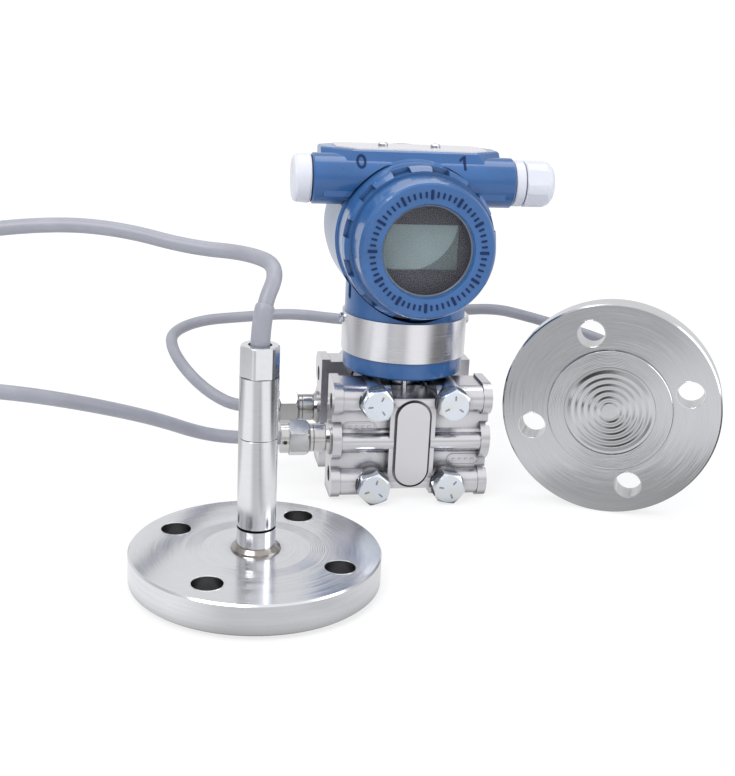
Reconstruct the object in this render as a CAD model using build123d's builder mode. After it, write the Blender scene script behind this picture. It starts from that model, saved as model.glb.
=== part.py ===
from build123d import *
import math
import os

# Pressure transmitter with two remote diaphragm seals, in millimetres.
# X runs to the right, Y away from the display, Z up from the floor.
# Everything is drawn about the turning axis of the housing. When it is saved it moves to the
# shared frame, whose origin is the centre of the left seal's raised face.

os.makedirs("parts", exist_ok=True)

# Clearances
thread_gap = 0.08
pin_gap = 0.05
seat_gap = 0.05
hole_gap = 0.35

# Process flanges and bolts
flange_half_width = 43.0
flange_inner_y = 14.0
flange_plate_y = 33.0
flange_rib_y = 39.6
spot_face_y = 38.6
bolt_half_spacing = 20.45
bolt_low_z = 9.25
bolt_spacing_z = 46.8
bolt_high_z = bolt_low_z + bolt_spacing_z
port_z = bolt_low_z + bolt_spacing_z / 2
port_y = 27.0
rib_radius = 7.6
port_rib_radius = 5.0
lobe_radius = 8.9
lobe_centre_y = 31.1
port_lobe_radius = 11.6
port_lobe_y = 28.4
rim_width = 4.8
side_hole_spacing = 41.3
side_hole_radius = 4.25
side_hole_depth = 14.0
channel_radius = 2.5
pad_width = 17.6
pad_height = 46.8
pad_front_y = 40.3
web_half_width = 12.4
web_front_y = 38.8
web_half_height = 25.4
groove_width = 1.3
groove_depth = 1.6
bolt_radius = 4.95
bolt_hole_radius = bolt_radius + 0.55
head_across_flats = 16.0
head_height = 6.4
washer_radius = 9.0
washer_thickness = 2.0
nut_height = 8.4
bolt_end_margin = 2.6

# Pin on the front flange that stops the housing from turning too far
pin_x = -2.0
pin_y = -20.0
pin_depth = 5.0
pin_foot_z = port_z + web_half_height

# Sensor cell
cell_radius = 25.2
cell_half_depth = 12.5
neck_radius = 14.3
neck_foot_radius = 13.4
neck_shoulder_z = 64.6
neck_cover = 9.6

# Housing, from the thread of the covers outwards
barrel_z = 139.1
barrel_front_y = -10.0
barrel_rear_y = 32.0
throat_radius = 38.0
throat_length = 16.0
rear_throat_length = 12.0
throat_wall = 3.6
cover_wall = 2.6
cover_gap = 0.8
barrel_wall = 3.8
collar_gap = 0.9
collar_radius = 33.2
collar_bottom_z = 65.8
block_rise = 3.6
block_half_width = 49.0
block_front_y = -6.0
block_rear_y = 28.0
block_depth = 24.0
block_lean = 6.5
block_corner = 7.0
boss_drop = 16.0
boss_radius = 13.45
boss_reach = 5.6
entry_wall = 4.15
boss_face_x = block_half_width + boss_reach
cavity_radius = throat_radius - throat_wall
cover_radius = throat_radius + cover_wall
barrel_radius = throat_radius + barrel_wall
block_top_z = barrel_z + barrel_radius + block_rise
boss_z = block_top_z - boss_drop
entry_radius = boss_radius - entry_wall
collar_full_top_z = barrel_z - cover_radius - collar_gap
neck_top_z = collar_full_top_z - neck_cover

# Covers
front_face_y = -51.8
front_face_step = 6.0
front_face_radius = cover_radius - front_face_step
window_opening = 24.3
window_radius = 28.8
window_thickness = 6.0
lug_back_step = 2.7
lug_count = 12
lug_notch_width = 9.4
lug_phase = 78.4

# Remote seals
seal_radius = 57.5
seal_bolt_circle = 85.0
seal_hole_radius = 7.0
raised_face_radius = 32.8
raised_face_height = 2.0
seal_plate_top = 16.4
diaphragm_radius = 23.7
diaphragm_seat_radius = 24.2
diaphragm_thickness = 0.3
stem_radius = 8.8
stem_flats = 16.0
stem_top = 112.0
stem_hex_bottom = 98.0
stem_seam = 70.0
stem_groove = 27.2
stem_pocket_depth = 4.0
left_seal_x = -90.7
left_seal_y = -131.9
left_seal_turn = 56.7
right_face_x = 101.6
right_face_y = -59.6
right_seal_turn = -18.7
right_seal_heading = 25.1

# Capillaries
cord_diameter = 7.0
fitting_end_x = -70.4


def revolved(points, plane, axis):
    """Solid of revolution of a closed profile."""
    with BuildPart() as made:
        with BuildSketch(plane):
            with BuildLine():
                Polyline(*points, close=True)
            make_face()
        revolve(axis=axis)
    return made.part


def turned_x(points, y, z):
    """Profile of (x, radius) turned about a line along X."""
    plane = Plane(origin=(0, y, z), x_dir=(1, 0, 0), z_dir=(0, -1, 0))
    return revolved(points, plane, Axis((0, y, z), (1, 0, 0)))


def turned_y(points, x, z):
    """Profile of (y, radius) turned about a line along Y."""
    plane = Plane(origin=(x, 0, z), x_dir=(0, 1, 0), z_dir=(1, 0, 0))
    return revolved(points, plane, Axis((x, 0, z), (0, 1, 0)))


def turned_z(points, x, y):
    """Profile of (radius, z) turned about a line along Z."""
    plane = Plane(origin=(x, y, 0), x_dir=(1, 0, 0), z_dir=(0, -1, 0))
    return revolved(points, plane, Axis((x, y, 0), (0, 0, 1)))


def hexagon(plane, across_flats, length, turn=0.0):
    """Hexagonal bar from the plane along its normal."""
    with BuildPart() as made:
        with BuildSketch(plane):
            RegularPolygon(across_flats / 2, 6, major_radius=False, rotation=turn)
        extrude(amount=length)
    return made.part


def plane_x(x, y, z):
    """Plane at a point, facing along X."""
    return Plane(origin=(x, y, z), x_dir=(0, 1, 0), z_dir=(1, 0, 0))


def plane_y(x, y, z):
    """Plane at a point, facing along Y."""
    return Plane(origin=(x, y, z), x_dir=(0, 0, 1), z_dir=(0, 1, 0))


def rod(plane, radius, length):
    """Round bar from the plane along its normal."""
    with BuildPart() as made:
        with BuildSketch(plane):
            Circle(radius)
        extrude(amount=length)
    return made.part


def save(part, label):
    """Move the piece to the shared frame, name it and write its file."""
    placed = part.moved(Location((-left_seal_x, -left_seal_y, 0)))
    placed.label = label
    export_step(placed, "parts/" + label + ".step")
    print(label, round(placed.volume), "mm3")


# Sensor cell between the flanges, with the neck that carries the housing
cell_body = turned_y(
    [
        (-cell_half_depth, 0),
        (-cell_half_depth, cell_radius - 0.8),
        (-cell_half_depth + 0.8, cell_radius),
        (cell_half_depth - 0.8, cell_radius),
        (cell_half_depth, cell_radius - 0.8),
        (cell_half_depth, 0),
    ],
    0,
    port_z,
)
cell_neck = turned_z(
    [
        (0, port_z),
        (neck_foot_radius - 1.2, port_z),
        (neck_foot_radius - 1.2, 61.0),
        (neck_foot_radius, 62.2),
        (neck_radius, neck_shoulder_z),
        (neck_radius, neck_top_z - 1),
        (neck_radius - 1, neck_top_z),
        (0, neck_top_z),
    ],
    0,
    0,
)
with BuildPart() as sensor_cell:
    add(cell_body)
    add(cell_neck)
save(sensor_cell.part, "sensor_cell")

gasket_inner = 19.0
gasket_outer = 24.2
front_gasket = turned_y(
    [
        (-flange_inner_y, gasket_inner),
        (-flange_inner_y, gasket_outer),
        (-cell_half_depth, gasket_outer),
        (-cell_half_depth, gasket_inner),
    ],
    0,
    port_z,
)
with BuildPart() as cell_gaskets:
    add(front_gasket)
    add(front_gasket.mirror(Plane.XZ))
save(cell_gaskets.part, "cell_gaskets")


# Front process flange, drawn once and mirrored for the rear one
with BuildPart() as flange_blank:
    with BuildSketch(plane_x(-flange_half_width, 0, 0)):
        with Locations((-(flange_plate_y + flange_inner_y) / 2, port_z)):
            Rectangle(flange_plate_y - flange_inner_y, bolt_spacing_z + 2 * rib_radius)
        with Locations((-flange_rib_y + rib_radius, bolt_low_z), (-flange_rib_y + rib_radius, bolt_high_z)):
            Circle(rib_radius)
        with Locations((-flange_rib_y + port_rib_radius, port_z)):
            Circle(port_rib_radius)
    extrude(amount=2 * flange_half_width)
    for end_x in (-flange_half_width, flange_half_width - rim_width):
        with BuildSketch(plane_x(end_x, 0, 0)):
            with Locations((-lobe_centre_y, bolt_low_z), (-lobe_centre_y, bolt_high_z)):
                Circle(lobe_radius)
            with Locations((-port_lobe_y, port_z)):
                Circle(port_lobe_radius)
            with Locations((-(lobe_centre_y + flange_inner_y) / 2, port_z)):
                Rectangle(lobe_centre_y - flange_inner_y, bolt_spacing_z + 2 * lobe_radius)
        extrude(amount=rim_width)
    with BuildSketch(plane_x(-flange_half_width - 1.2, -port_y, port_z)):
        Circle(9.2)
    extrude(amount=2 * flange_half_width + 2.4)
    with BuildSketch(plane_y(0, -web_front_y, port_z)):
        Rectangle(2 * web_half_height, 2 * web_half_width)
    extrude(amount=web_front_y - flange_inner_y)
    with Locations((0, -flange_inner_y - 12, port_z + web_half_height + 10)):
        Box(2 * web_half_width, 40, 20, mode=Mode.SUBTRACT)
    with Locations((0, -flange_inner_y - 12, port_z - web_half_height - 10)):
        Box(2 * web_half_width, 40, 20, mode=Mode.SUBTRACT)
    with BuildSketch(plane_y(0, -pad_front_y, port_z)):
        SlotOverall(pad_height, pad_width)
    extrude(amount=pad_front_y - flange_plate_y)
    with BuildSketch(plane_y(0, -web_front_y - 2.0, port_z)):
        SlotOverall(pad_height + 2 * groove_width, pad_width + 2 * groove_width)
        SlotOverall(pad_height, pad_width, mode=Mode.SUBTRACT)
    extrude(amount=groove_depth + 2.0, mode=Mode.SUBTRACT)
    for bolt_x in (-bolt_half_spacing, bolt_half_spacing):
        for bolt_z in (bolt_low_z, bolt_high_z):
            with BuildSketch(plane_y(bolt_x, -spot_face_y, bolt_z)):
                Circle(washer_radius - 0.3)
            extrude(amount=spot_face_y - flange_inner_y)
            with BuildSketch(plane_y(bolt_x, -spot_face_y - 4, bolt_z)):
                Circle(washer_radius + 0.5)
            extrude(amount=4, mode=Mode.SUBTRACT)
            with BuildSketch(plane_y(bolt_x, -spot_face_y - 4, bolt_z)):
                Circle(bolt_hole_radius)
            extrude(amount=spot_face_y, mode=Mode.SUBTRACT)
    for end_x, out in ((-flange_half_width - 2, 1), (flange_half_width + 2, -1)):
        for hole_z in (port_z - side_hole_spacing / 2, port_z + side_hole_spacing / 2):
            with BuildSketch(plane_x(end_x, -port_y, hole_z)):
                Circle(side_hole_radius)
            extrude(amount=out * (side_hole_depth + 2), mode=Mode.SUBTRACT)
    with BuildSketch(plane_x(-flange_half_width - 2, -port_y, port_z)):
        Circle(channel_radius)
    extrude(amount=flange_half_width + 2, mode=Mode.SUBTRACT)
    with BuildSketch(plane_y(0, -port_y, port_z)):
        Circle(channel_radius)
    extrude(amount=port_y, mode=Mode.SUBTRACT)

with BuildPart() as front_flange:
    add(flange_blank.part)
    with BuildSketch(Plane.XY.offset(pin_foot_z + 3)):
        with Locations((pin_x, pin_y)):
            Circle(1.5 + pin_gap)
    extrude(amount=-pin_depth - 3, mode=Mode.SUBTRACT)
save(front_flange.part, "front_flange")
with BuildPart() as rear_flange:
    add(flange_blank.part.mirror(Plane.XZ))
save(rear_flange.part, "rear_flange")

# Bolts, washers and nuts
head_base_y = -spot_face_y - washer_thickness
nut_base_y = spot_face_y + washer_thickness
bolt_tip_y = nut_base_y + nut_height + bolt_end_margin
corner = head_across_flats / 2 / math.cos(math.radians(30))
head_turns = (12.0, 40.0, 24.0, 3.0)
bolt_sites = [
    (-bolt_half_spacing, bolt_low_z),
    (bolt_half_spacing, bolt_low_z),
    (-bolt_half_spacing, bolt_high_z),
    (bolt_half_spacing, bolt_high_z),
]
bolts = []
washers = []
nuts = []
for (bolt_x, bolt_z), head_turn in zip(bolt_sites, head_turns):
    head_plane = plane_y(bolt_x, head_base_y - head_height, bolt_z)
    head = hexagon(head_plane, head_across_flats, head_height, head_turn)
    head_limit = turned_y(
        [
            (head_base_y - head_height, 0),
            (head_base_y - head_height, corner - 1.6),
            (head_base_y - head_height + 0.95, corner + 0.02),
            (head_base_y, corner + 0.02),
            (head_base_y, 0),
        ],
        bolt_x,
        bolt_z,
    )
    shank = rod(plane_y(bolt_x, head_base_y - 0.5, bolt_z), bolt_radius, bolt_tip_y - head_base_y + 0.5)
    bolts.append((head & head_limit) + shank)
    for start_y in (-spot_face_y - washer_thickness, spot_face_y):
        washers.append(
            turned_y(
                [
                    (start_y, bolt_radius + hole_gap),
                    (start_y, washer_radius),
                    (start_y + washer_thickness, washer_radius),
                    (start_y + washer_thickness, bolt_radius + hole_gap),
                ],
                bolt_x,
                bolt_z,
            )
        )
    nut = hexagon(plane_y(bolt_x, nut_base_y, bolt_z), head_across_flats, nut_height, head_turn + 17)
    nut_limit = turned_y(
        [
            (nut_base_y, bolt_radius + seat_gap),
            (nut_base_y, corner - 0.8),
            (nut_base_y + 0.5, corner + 0.02),
            (nut_base_y + nut_height - 0.5, corner + 0.02),
            (nut_base_y + nut_height, corner - 0.8),
            (nut_base_y + nut_height, bolt_radius + seat_gap),
        ],
        bolt_x,
        bolt_z,
    )
    nuts.append(nut & nut_limit)
with BuildPart() as flange_bolts:
    add(bolts)
save(flange_bolts.part, "flange_bolts")
with BuildPart() as bolt_washers:
    add(washers)
save(bolt_washers.part, "bolt_washers")
with BuildPart() as flange_nuts:
    add(nuts)
save(flange_nuts.part, "flange_nuts")

# Rotation stop
pin_blank = turned_z(
    [
        (0, pin_foot_z - pin_depth),
        (1.5, pin_foot_z - pin_depth),
        (1.5, 64.2),
        (1.0, 64.9),
        (0, 64.9),
    ],
    pin_x,
    pin_y,
)
with BuildPart() as rotation_stop_pin:
    add(pin_blank)
save(rotation_stop_pin.part, "rotation_stop_pin")

# Capillary fittings on the left ends of both flanges
boss_x = -flange_half_width - 1.2
for side, fitting_y in (("front", -port_y), ("rear", port_y)):
    adapter = turned_x(
        [
            (boss_x, channel_radius),
            (boss_x, 8.4),
            (boss_x - 1.6, 7.7),
            (boss_x - 1.6, 7.0),
            (boss_x - 2.3, 7.0),
            (boss_x - 2.3, 7.65),
            (-52.2, 7.65),
            (-52.2, 6.8),
            (-52.8, 6.8),
            (-52.8, 7.65),
            (-54.2, 7.65),
            (-54.2, 6.6),
            (-54.9, 6.6),
            (-54.9, channel_radius),
        ],
        fitting_y,
        port_z,
    )
    with BuildPart() as port_adapter:
        add(adapter)
    save(port_adapter.part, side + "_port_adapter")
    nut_corner = 17.4 / 2 / math.cos(math.radians(30))
    nut_bar = hexagon(plane_x(-65.5, fitting_y, port_z), 17.4, 10.6, 30)
    nut_shape = turned_x(
        [
            (-65.5, channel_radius),
            (-65.5, 8.9),
            (-64.9, nut_corner + 0.02),
            (-56.6, nut_corner + 0.02),
            (-54.9, 8.3),
            (-54.9, channel_radius),
        ],
        fitting_y,
        port_z,
    )
    with BuildPart() as port_nut:
        add(nut_bar & nut_shape)
    save(port_nut.part, side + "_port_nut")
    collar_ring = turned_x(
        [
            (fitting_end_x, 1.2),
            (fitting_end_x, 7.7),
            (fitting_end_x + 0.5, 8.2),
            (-65.5, 8.2),
            (-65.5, 1.2),
        ],
        fitting_y,
        port_z,
    )
    with BuildPart() as port_collar:
        add(collar_ring)
        with BuildSketch(plane_y(-68.0, fitting_y - 9.0, port_z)):
            Circle(1.1)
        extrude(amount=4.5, mode=Mode.SUBTRACT)
    save(port_collar.part, side + "_port_collar")

# Housing casting
thread_start_front = barrel_front_y - throat_length
thread_end_rear = barrel_rear_y + rear_throat_length
barrel = turned_y(
    [
        (thread_start_front, 0),
        (thread_start_front, throat_radius - 0.6),
        (thread_start_front + 0.6, throat_radius),
        (barrel_front_y - 3.4, throat_radius),
        (barrel_front_y - 3.4, throat_radius - 2.0),
        (barrel_front_y - 1.4, throat_radius - 2.0),
        (barrel_front_y - 1.4, throat_radius),
        (barrel_front_y, throat_radius),
        (barrel_front_y, barrel_radius - 1.2),
        (barrel_front_y + 1.2, barrel_radius),
        (barrel_rear_y - 1.2, barrel_radius),
        (barrel_rear_y, barrel_radius - 1.2),
        (barrel_rear_y, throat_radius),
        (barrel_rear_y + 1.4, throat_radius),
        (barrel_rear_y + 1.4, throat_radius - 2.0),
        (barrel_rear_y + 3.4, throat_radius - 2.0),
        (barrel_rear_y + 3.4, throat_radius),
        (thread_end_rear - 0.6, throat_radius),
        (thread_end_rear, throat_radius - 0.6),
        (thread_end_rear, 0),
    ],
    0,
    barrel_z,
)
collar_round = turned_z(
    [
        (0, collar_bottom_z),
        (collar_radius - 1.0, collar_bottom_z),
        (collar_radius, collar_bottom_z + 1.0),
        (collar_radius, collar_full_top_z - 0.5),
        (collar_radius - 0.5, collar_full_top_z),
        (0, collar_full_top_z),
    ],
    0,
    0,
)
cover_relief = turned_y(
    [
        (front_face_y, 0),
        (front_face_y, cover_radius + cover_gap),
        (barrel_front_y, cover_radius + cover_gap),
        (barrel_front_y, 0),
    ],
    0,
    barrel_z,
)
rear_relief = turned_y(
    [
        (barrel_rear_y, 0),
        (barrel_rear_y, cover_radius + cover_gap),
        (barrel_rear_y + 20, cover_radius + cover_gap),
        (barrel_rear_y + 20, 0),
    ],
    0,
    barrel_z,
)
with BuildPart() as collar_rise:
    with BuildSketch(Plane.XY.offset(collar_full_top_z - 4)):
        Circle(collar_radius)
    extrude(amount=cover_radius * 0.74)
    add(cover_relief, mode=Mode.SUBTRACT)
    add(rear_relief, mode=Mode.SUBTRACT)
corner_side = block_corner * math.sqrt(2)
block_foot_y = block_front_y - block_lean
lean_foot_z = block_top_z - 14.5
facet_top = Vector(block_half_width - 15.7, block_front_y, block_top_z)
facet_foot = Vector(block_half_width - 6.0, block_foot_y, lean_foot_z)
facet_back = Vector(block_half_width, block_front_y + 14.0, block_top_z)
facet_normal = (facet_foot - facet_top).cross(facet_back - facet_top).normalized()
block_profile = [
    (block_front_y, block_top_z),
    (block_foot_y, lean_foot_z),
    (block_foot_y, block_top_z - block_depth),
    (block_rear_y, block_top_z - block_depth),
    (block_rear_y, block_top_z),
]
with BuildPart() as top_block:
    with BuildSketch(Plane(origin=(-block_half_width, 0, 0), x_dir=(0, 1, 0), z_dir=(1, 0, 0))):
        with BuildLine():
            Polyline(*block_profile, close=True)
        make_face()
    extrude(amount=2 * block_half_width)
    with BuildSketch(Plane.XY.offset(block_top_z - block_depth - 1)):
        for way in (-1, 1):
            with Locations((way * block_half_width, block_rear_y)):
                Rectangle(corner_side, corner_side, rotation=45)
    extrude(amount=block_depth + 2, mode=Mode.SUBTRACT)
    for way in (-1, 1):
        normal = (way * facet_normal.X, facet_normal.Y, facet_normal.Z)
        origin = (way * facet_top.X, facet_top.Y, facet_top.Z)
        with BuildSketch(Plane(origin=origin, z_dir=normal)):
            Rectangle(3 * block_half_width, 3 * block_half_width)
        extrude(amount=60, mode=Mode.SUBTRACT)
    chamfer(top_block.faces().sort_by(Axis.Z)[-1].edges(), 0.8)
    add(cover_relief, mode=Mode.SUBTRACT)
boss_bar = turned_x(
    [
        (-boss_face_x, 0),
        (-boss_face_x, boss_radius - 0.8),
        (-boss_face_x + 0.8, boss_radius),
        (boss_face_x - 0.8, boss_radius),
        (boss_face_x, boss_radius - 0.8),
        (boss_face_x, 0),
    ],
    0,
    boss_z,
)
with BuildPart() as entry_bosses:
    add(boss_bar)
    add(cover_relief, mode=Mode.SUBTRACT)
front_cavity = turned_y(
    [
        (thread_start_front - 1, 0),
        (thread_start_front - 1, cavity_radius),
        (2.0, cavity_radius),
        (2.0, 0),
    ],
    0,
    barrel_z,
)
rear_cavity = turned_y(
    [
        (12.0, 0),
        (12.0, cavity_radius),
        (thread_end_rear + 1, cavity_radius),
        (thread_end_rear + 1, 0),
    ],
    0,
    barrel_z,
)
band_bottom_z = collar_bottom_z + 9.8
band_top_z = collar_full_top_z - 0.5
band_relief = turned_z(
    [
        (collar_radius, band_bottom_z),
        (collar_radius + 4, band_bottom_z),
        (collar_radius + 4, band_top_z + 0.5),
        (collar_radius, band_top_z + 0.5),
    ],
    0,
    0,
)
screw_x = 14.5
screw_y = 12.0
band_screw_z = band_top_z - 4.1
set_screw_z = collar_bottom_z + 5.0
slot_angle = math.radians(-167.0)
slot_way = (math.cos(slot_angle), math.sin(slot_angle), 0)
slot_depth = 1.8
slot_start = collar_radius + 8
slot_origin = (slot_start * slot_way[0], slot_start * slot_way[1], collar_full_top_z + 14.25)
saddle_radius = barrel_radius + 4.3
with BuildPart() as rear_saddle:
    add(
        turned_y(
            [
                (block_rear_y, 0),
                (block_rear_y, saddle_radius),
                (barrel_rear_y, saddle_radius),
                (barrel_rear_y, 0),
            ],
            0,
            barrel_z,
        )
    )
    with BuildSketch(Plane.XY.offset(barrel_z + barrel_radius * 0.8)):
        with Locations((0, barrel_rear_y)):
            Rectangle(28, 30)
    extrude(amount=30, mode=Mode.INTERSECT)
with BuildPart() as housing:
    add(barrel)
    add(collar_round)
    add(collar_rise.part)
    add(top_block.part)
    add(entry_bosses.part)
    add(rear_saddle.part)
    add(band_relief, mode=Mode.SUBTRACT)
    add(front_cavity, mode=Mode.SUBTRACT)
    add(rear_cavity, mode=Mode.SUBTRACT)
    with BuildSketch(Plane.XY.offset(collar_bottom_z - 1)):
        Circle(neck_radius + thread_gap)
    extrude(amount=neck_top_z + 1 - collar_bottom_z, mode=Mode.SUBTRACT)
    with BuildSketch(Plane.XY.offset(neck_top_z - 1)):
        with Locations((0, -4)):
            Circle(6)
    extrude(amount=barrel_z - cavity_radius + 7 - neck_top_z, mode=Mode.SUBTRACT)
    with BuildSketch(plane_y(0, 1, barrel_z + 20)):
        Circle(4)
    extrude(amount=12, mode=Mode.SUBTRACT)
    for start_x, reach in ((-boss_face_x - 1, 20.0), (boss_face_x + 1, -20.0)):
        with BuildSketch(plane_x(start_x, 0, boss_z)):
            Circle(entry_radius)
        extrude(amount=reach, mode=Mode.SUBTRACT)
        with BuildSketch(plane_x(start_x, -4, boss_z)):
            Circle(4.5)
        extrude(amount=reach * 2.2, mode=Mode.SUBTRACT)
    with BuildSketch(Plane(origin=slot_origin, x_dir=(0, 0, 1), z_dir=slot_way)):
        SlotOverall(13.5, 3.6)
    extrude(amount=collar_radius - slot_depth - slot_start, mode=Mode.SUBTRACT)
    with BuildSketch(Plane.XY.offset(block_top_z - 8)):
        with Locations((-screw_x, screw_y), (screw_x, screw_y)):
            Circle(1.25 + pin_gap)
    extrude(amount=10, mode=Mode.SUBTRACT)
    for start_x, reach in ((-collar_radius - 1, 8.0), (collar_radius + 1, -8.0)):
        with BuildSketch(plane_x(start_x, 0, band_screw_z)):
            Circle(1.5 + pin_gap)
        extrude(amount=reach, mode=Mode.SUBTRACT)
    with BuildSketch(plane_y(0, collar_radius + 1, set_screw_z)):
        Circle(2.5 + pin_gap)
    extrude(amount=-(collar_radius + 1 - neck_radius - 0.5), mode=Mode.SUBTRACT)
save(housing.part, "housing")

with BuildPart() as collar_set_screw:
    with BuildSketch(plane_y(0, neck_radius + 0.6, set_screw_z)):
        Circle(2.5)
    extrude(amount=collar_radius - neck_radius - 1.4)
    with BuildSketch(plane_y(0, collar_radius - 2.8, set_screw_z)):
        RegularPolygon(1.25, 6, major_radius=False)
    extrude(amount=3, mode=Mode.SUBTRACT)
save(collar_set_screw.part, "collar_set_screw")

# Metal plate on top of the housing and its two screws
plate_top_z = block_top_z + 0.8
plate_front_y = block_front_y + 1.5
plate_rear_y = block_rear_y - 1.5
plate_half = block_half_width - 8.0
plate_outline = [
    (-plate_half + 9.0, plate_front_y),
    (plate_half - 9.0, plate_front_y),
    (plate_half, plate_front_y + 8.0),
    (plate_half, plate_rear_y - 4.0),
    (plate_half - 4.0, plate_rear_y),
    (-plate_half + 4.0, plate_rear_y),
    (-plate_half, plate_rear_y - 4.0),
    (-plate_half, plate_front_y + 8.0),
]
with BuildPart() as top_nameplate:
    with BuildSketch(Plane.XY.offset(block_top_z)):
        with BuildLine():
            Polyline(*plate_outline, close=True)
        make_face()
        with Locations((-screw_x, screw_y), (screw_x, screw_y)):
            Circle(1.6, mode=Mode.SUBTRACT)
    extrude(amount=0.8)
save(top_nameplate.part, "top_nameplate")
plate_screws = []
for one_x in (-screw_x, screw_x):
    plate_screws.append(
        turned_z(
            [
                (0, block_top_z - 6),
                (1.25, block_top_z - 6),
                (1.25, plate_top_z),
                (2.7, plate_top_z),
                (2.7, plate_top_z + 1.2),
                (2.1, plate_top_z + 1.8),
                (0, plate_top_z + 1.8),
            ],
            one_x,
            screw_y,
        )
    )
with BuildPart() as nameplate_screws:
    add(plate_screws)
save(nameplate_screws.part, "nameplate_screws")

# Metal band around the neck of the housing
band_inner = collar_radius + seat_gap
band_outer = band_inner + 1.1
with BuildPart() as neck_band:
    with BuildSketch(Plane.XY.offset(band_bottom_z)):
        Circle(band_outer)
        Circle(band_inner, mode=Mode.SUBTRACT)
    extrude(amount=band_top_z - band_bottom_z)
    for start_x, reach in ((-band_outer - 1, 4.0), (band_outer + 1, -4.0)):
        with BuildSketch(plane_x(start_x, 0, band_screw_z)):
            Circle(1.9)
        extrude(amount=reach, mode=Mode.SUBTRACT)
save(neck_band.part, "neck_band")
band_screw_list = []
for way in (-1, 1):
    band_screw_list.append(
        turned_x(
            [
                (way * (collar_radius - 6), 0),
                (way * (collar_radius - 6), 1.5),
                (way * (band_outer + 0.05), 1.5),
                (way * (band_outer + 0.05), 2.7),
                (way * (band_outer + 1.5), 2.7),
                (way * (band_outer + 2.0), 2.1),
                (way * (band_outer + 2.0), 0),
            ],
            0,
            band_screw_z,
        )
    )
with BuildPart() as band_screws:
    add(band_screw_list)
save(band_screws.part, "band_screws")


def notched_ring(profile, notch_y, notch_length):
    """Ring of lugs: a turned ring with evenly spaced notches cut in its rim."""
    ring = turned_y(profile, 0, barrel_z)
    foot = cover_radius - lug_back_step
    with BuildPart() as made:
        add(ring)
        for index in range(lug_count):
            angle = math.radians(lug_phase + index * 360 / lug_count)
            where = Plane(
                origin=(foot * math.cos(angle), notch_y, barrel_z + foot * math.sin(angle)),
                x_dir=(0, 1, 0),
                z_dir=(math.cos(angle), 0, math.sin(angle)),
            )
            with BuildSketch(where):
                Rectangle(notch_length, lug_notch_width)
            extrude(amount=8, mode=Mode.SUBTRACT)
    return made.part


# Front cover with window
skirt_back_y = barrel_front_y - cover_gap
skirt_front_y = thread_start_front - 1.5
bore_radius = throat_radius + thread_gap
window_seat_y = front_face_y + 3.2
window_front_y = window_seat_y + 0.8
window_rear_y = window_front_y + window_thickness
window_back_y = window_rear_y + 1.6
front_shell = turned_y(
    [
        (skirt_back_y, bore_radius),
        (skirt_back_y, cover_radius - 0.6),
        (skirt_back_y - 0.6, cover_radius),
        (skirt_front_y, cover_radius),
        (skirt_front_y, cover_radius - 3.2),
        (skirt_front_y - 8.5, cover_radius - 4.0),
        (front_face_y + 2.4, front_face_radius + 0.8),
        (front_face_y + 0.9, front_face_radius),
        (front_face_y, front_face_radius - 0.9),
        (front_face_y, window_opening),
        (front_face_y + 1.6, window_opening - 0.7),
        (window_seat_y, window_opening - 0.7),
        (window_seat_y, window_radius + 0.2),
        (window_back_y, window_radius + 0.2),
        (window_back_y, cavity_radius),
        (thread_start_front - 0.6, cavity_radius),
        (thread_start_front - 0.6, bore_radius),
    ],
    0,
    barrel_z,
)
front_lugs = notched_ring(
    [
        (skirt_front_y + 0.4, cover_radius - 4.2),
        (skirt_front_y + 0.4, cover_radius),
        (skirt_front_y - 4.3, cover_radius - 0.4),
        (skirt_front_y - 7.1, cover_radius - 2.2),
        (skirt_front_y - 7.1, cover_radius - 4.2),
    ],
    skirt_front_y - 5.0,
    10.2,
)
with BuildPart() as front_cover:
    add(front_shell)
    add(front_lugs)
save(front_cover.part, "front_cover")


# Window, its gasket and the ring that holds it
with BuildPart() as window_gasket:
    add(
        turned_y(
            [
                (window_seat_y, window_opening + 0.3),
                (window_seat_y, window_radius),
                (window_front_y, window_radius),
                (window_front_y, window_opening + 0.3),
            ],
            0,
            barrel_z,
        )
    )
save(window_gasket.part, "window_gasket")
with BuildPart() as cover_window:
    add(
        turned_y(
            [
                (window_front_y, 0),
                (window_front_y, window_radius),
                (window_rear_y, window_radius),
                (window_rear_y, 0),
            ],
            0,
            barrel_z,
        )
    )
save(cover_window.part, "cover_window")
with BuildPart() as window_retainer:
    add(
        turned_y(
            [
                (window_rear_y, window_radius - 3.8),
                (window_rear_y, window_radius + 0.15),
                (window_back_y, window_radius + 0.15),
                (window_back_y, window_radius - 3.8),
            ],
            0,
            barrel_z,
        )
    )
save(window_retainer.part, "window_retainer")

# Seal rings of both covers, each in its groove
seal_inner = throat_radius - 2.0 + seat_gap
seal_outer = throat_radius - seat_gap
seal_front_y = barrel_front_y - 3.4
seal_rear_y = barrel_rear_y + 1.4
with BuildPart() as front_cover_seal:
    add(
        turned_y(
            [
                (seal_front_y, seal_inner),
                (seal_front_y, seal_outer),
                (seal_front_y + 2.0, seal_outer),
                (seal_front_y + 2.0, seal_inner),
            ],
            0,
            barrel_z,
        )
    )
save(front_cover_seal.part, "front_cover_seal")
with BuildPart() as rear_cover_seal:
    add(
        turned_y(
            [
                (seal_rear_y, seal_inner),
                (seal_rear_y, seal_outer),
                (seal_rear_y + 2.0, seal_outer),
                (seal_rear_y + 2.0, seal_inner),
            ],
            0,
            barrel_z,
        )
    )
save(rear_cover_seal.part, "rear_cover_seal")

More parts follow.
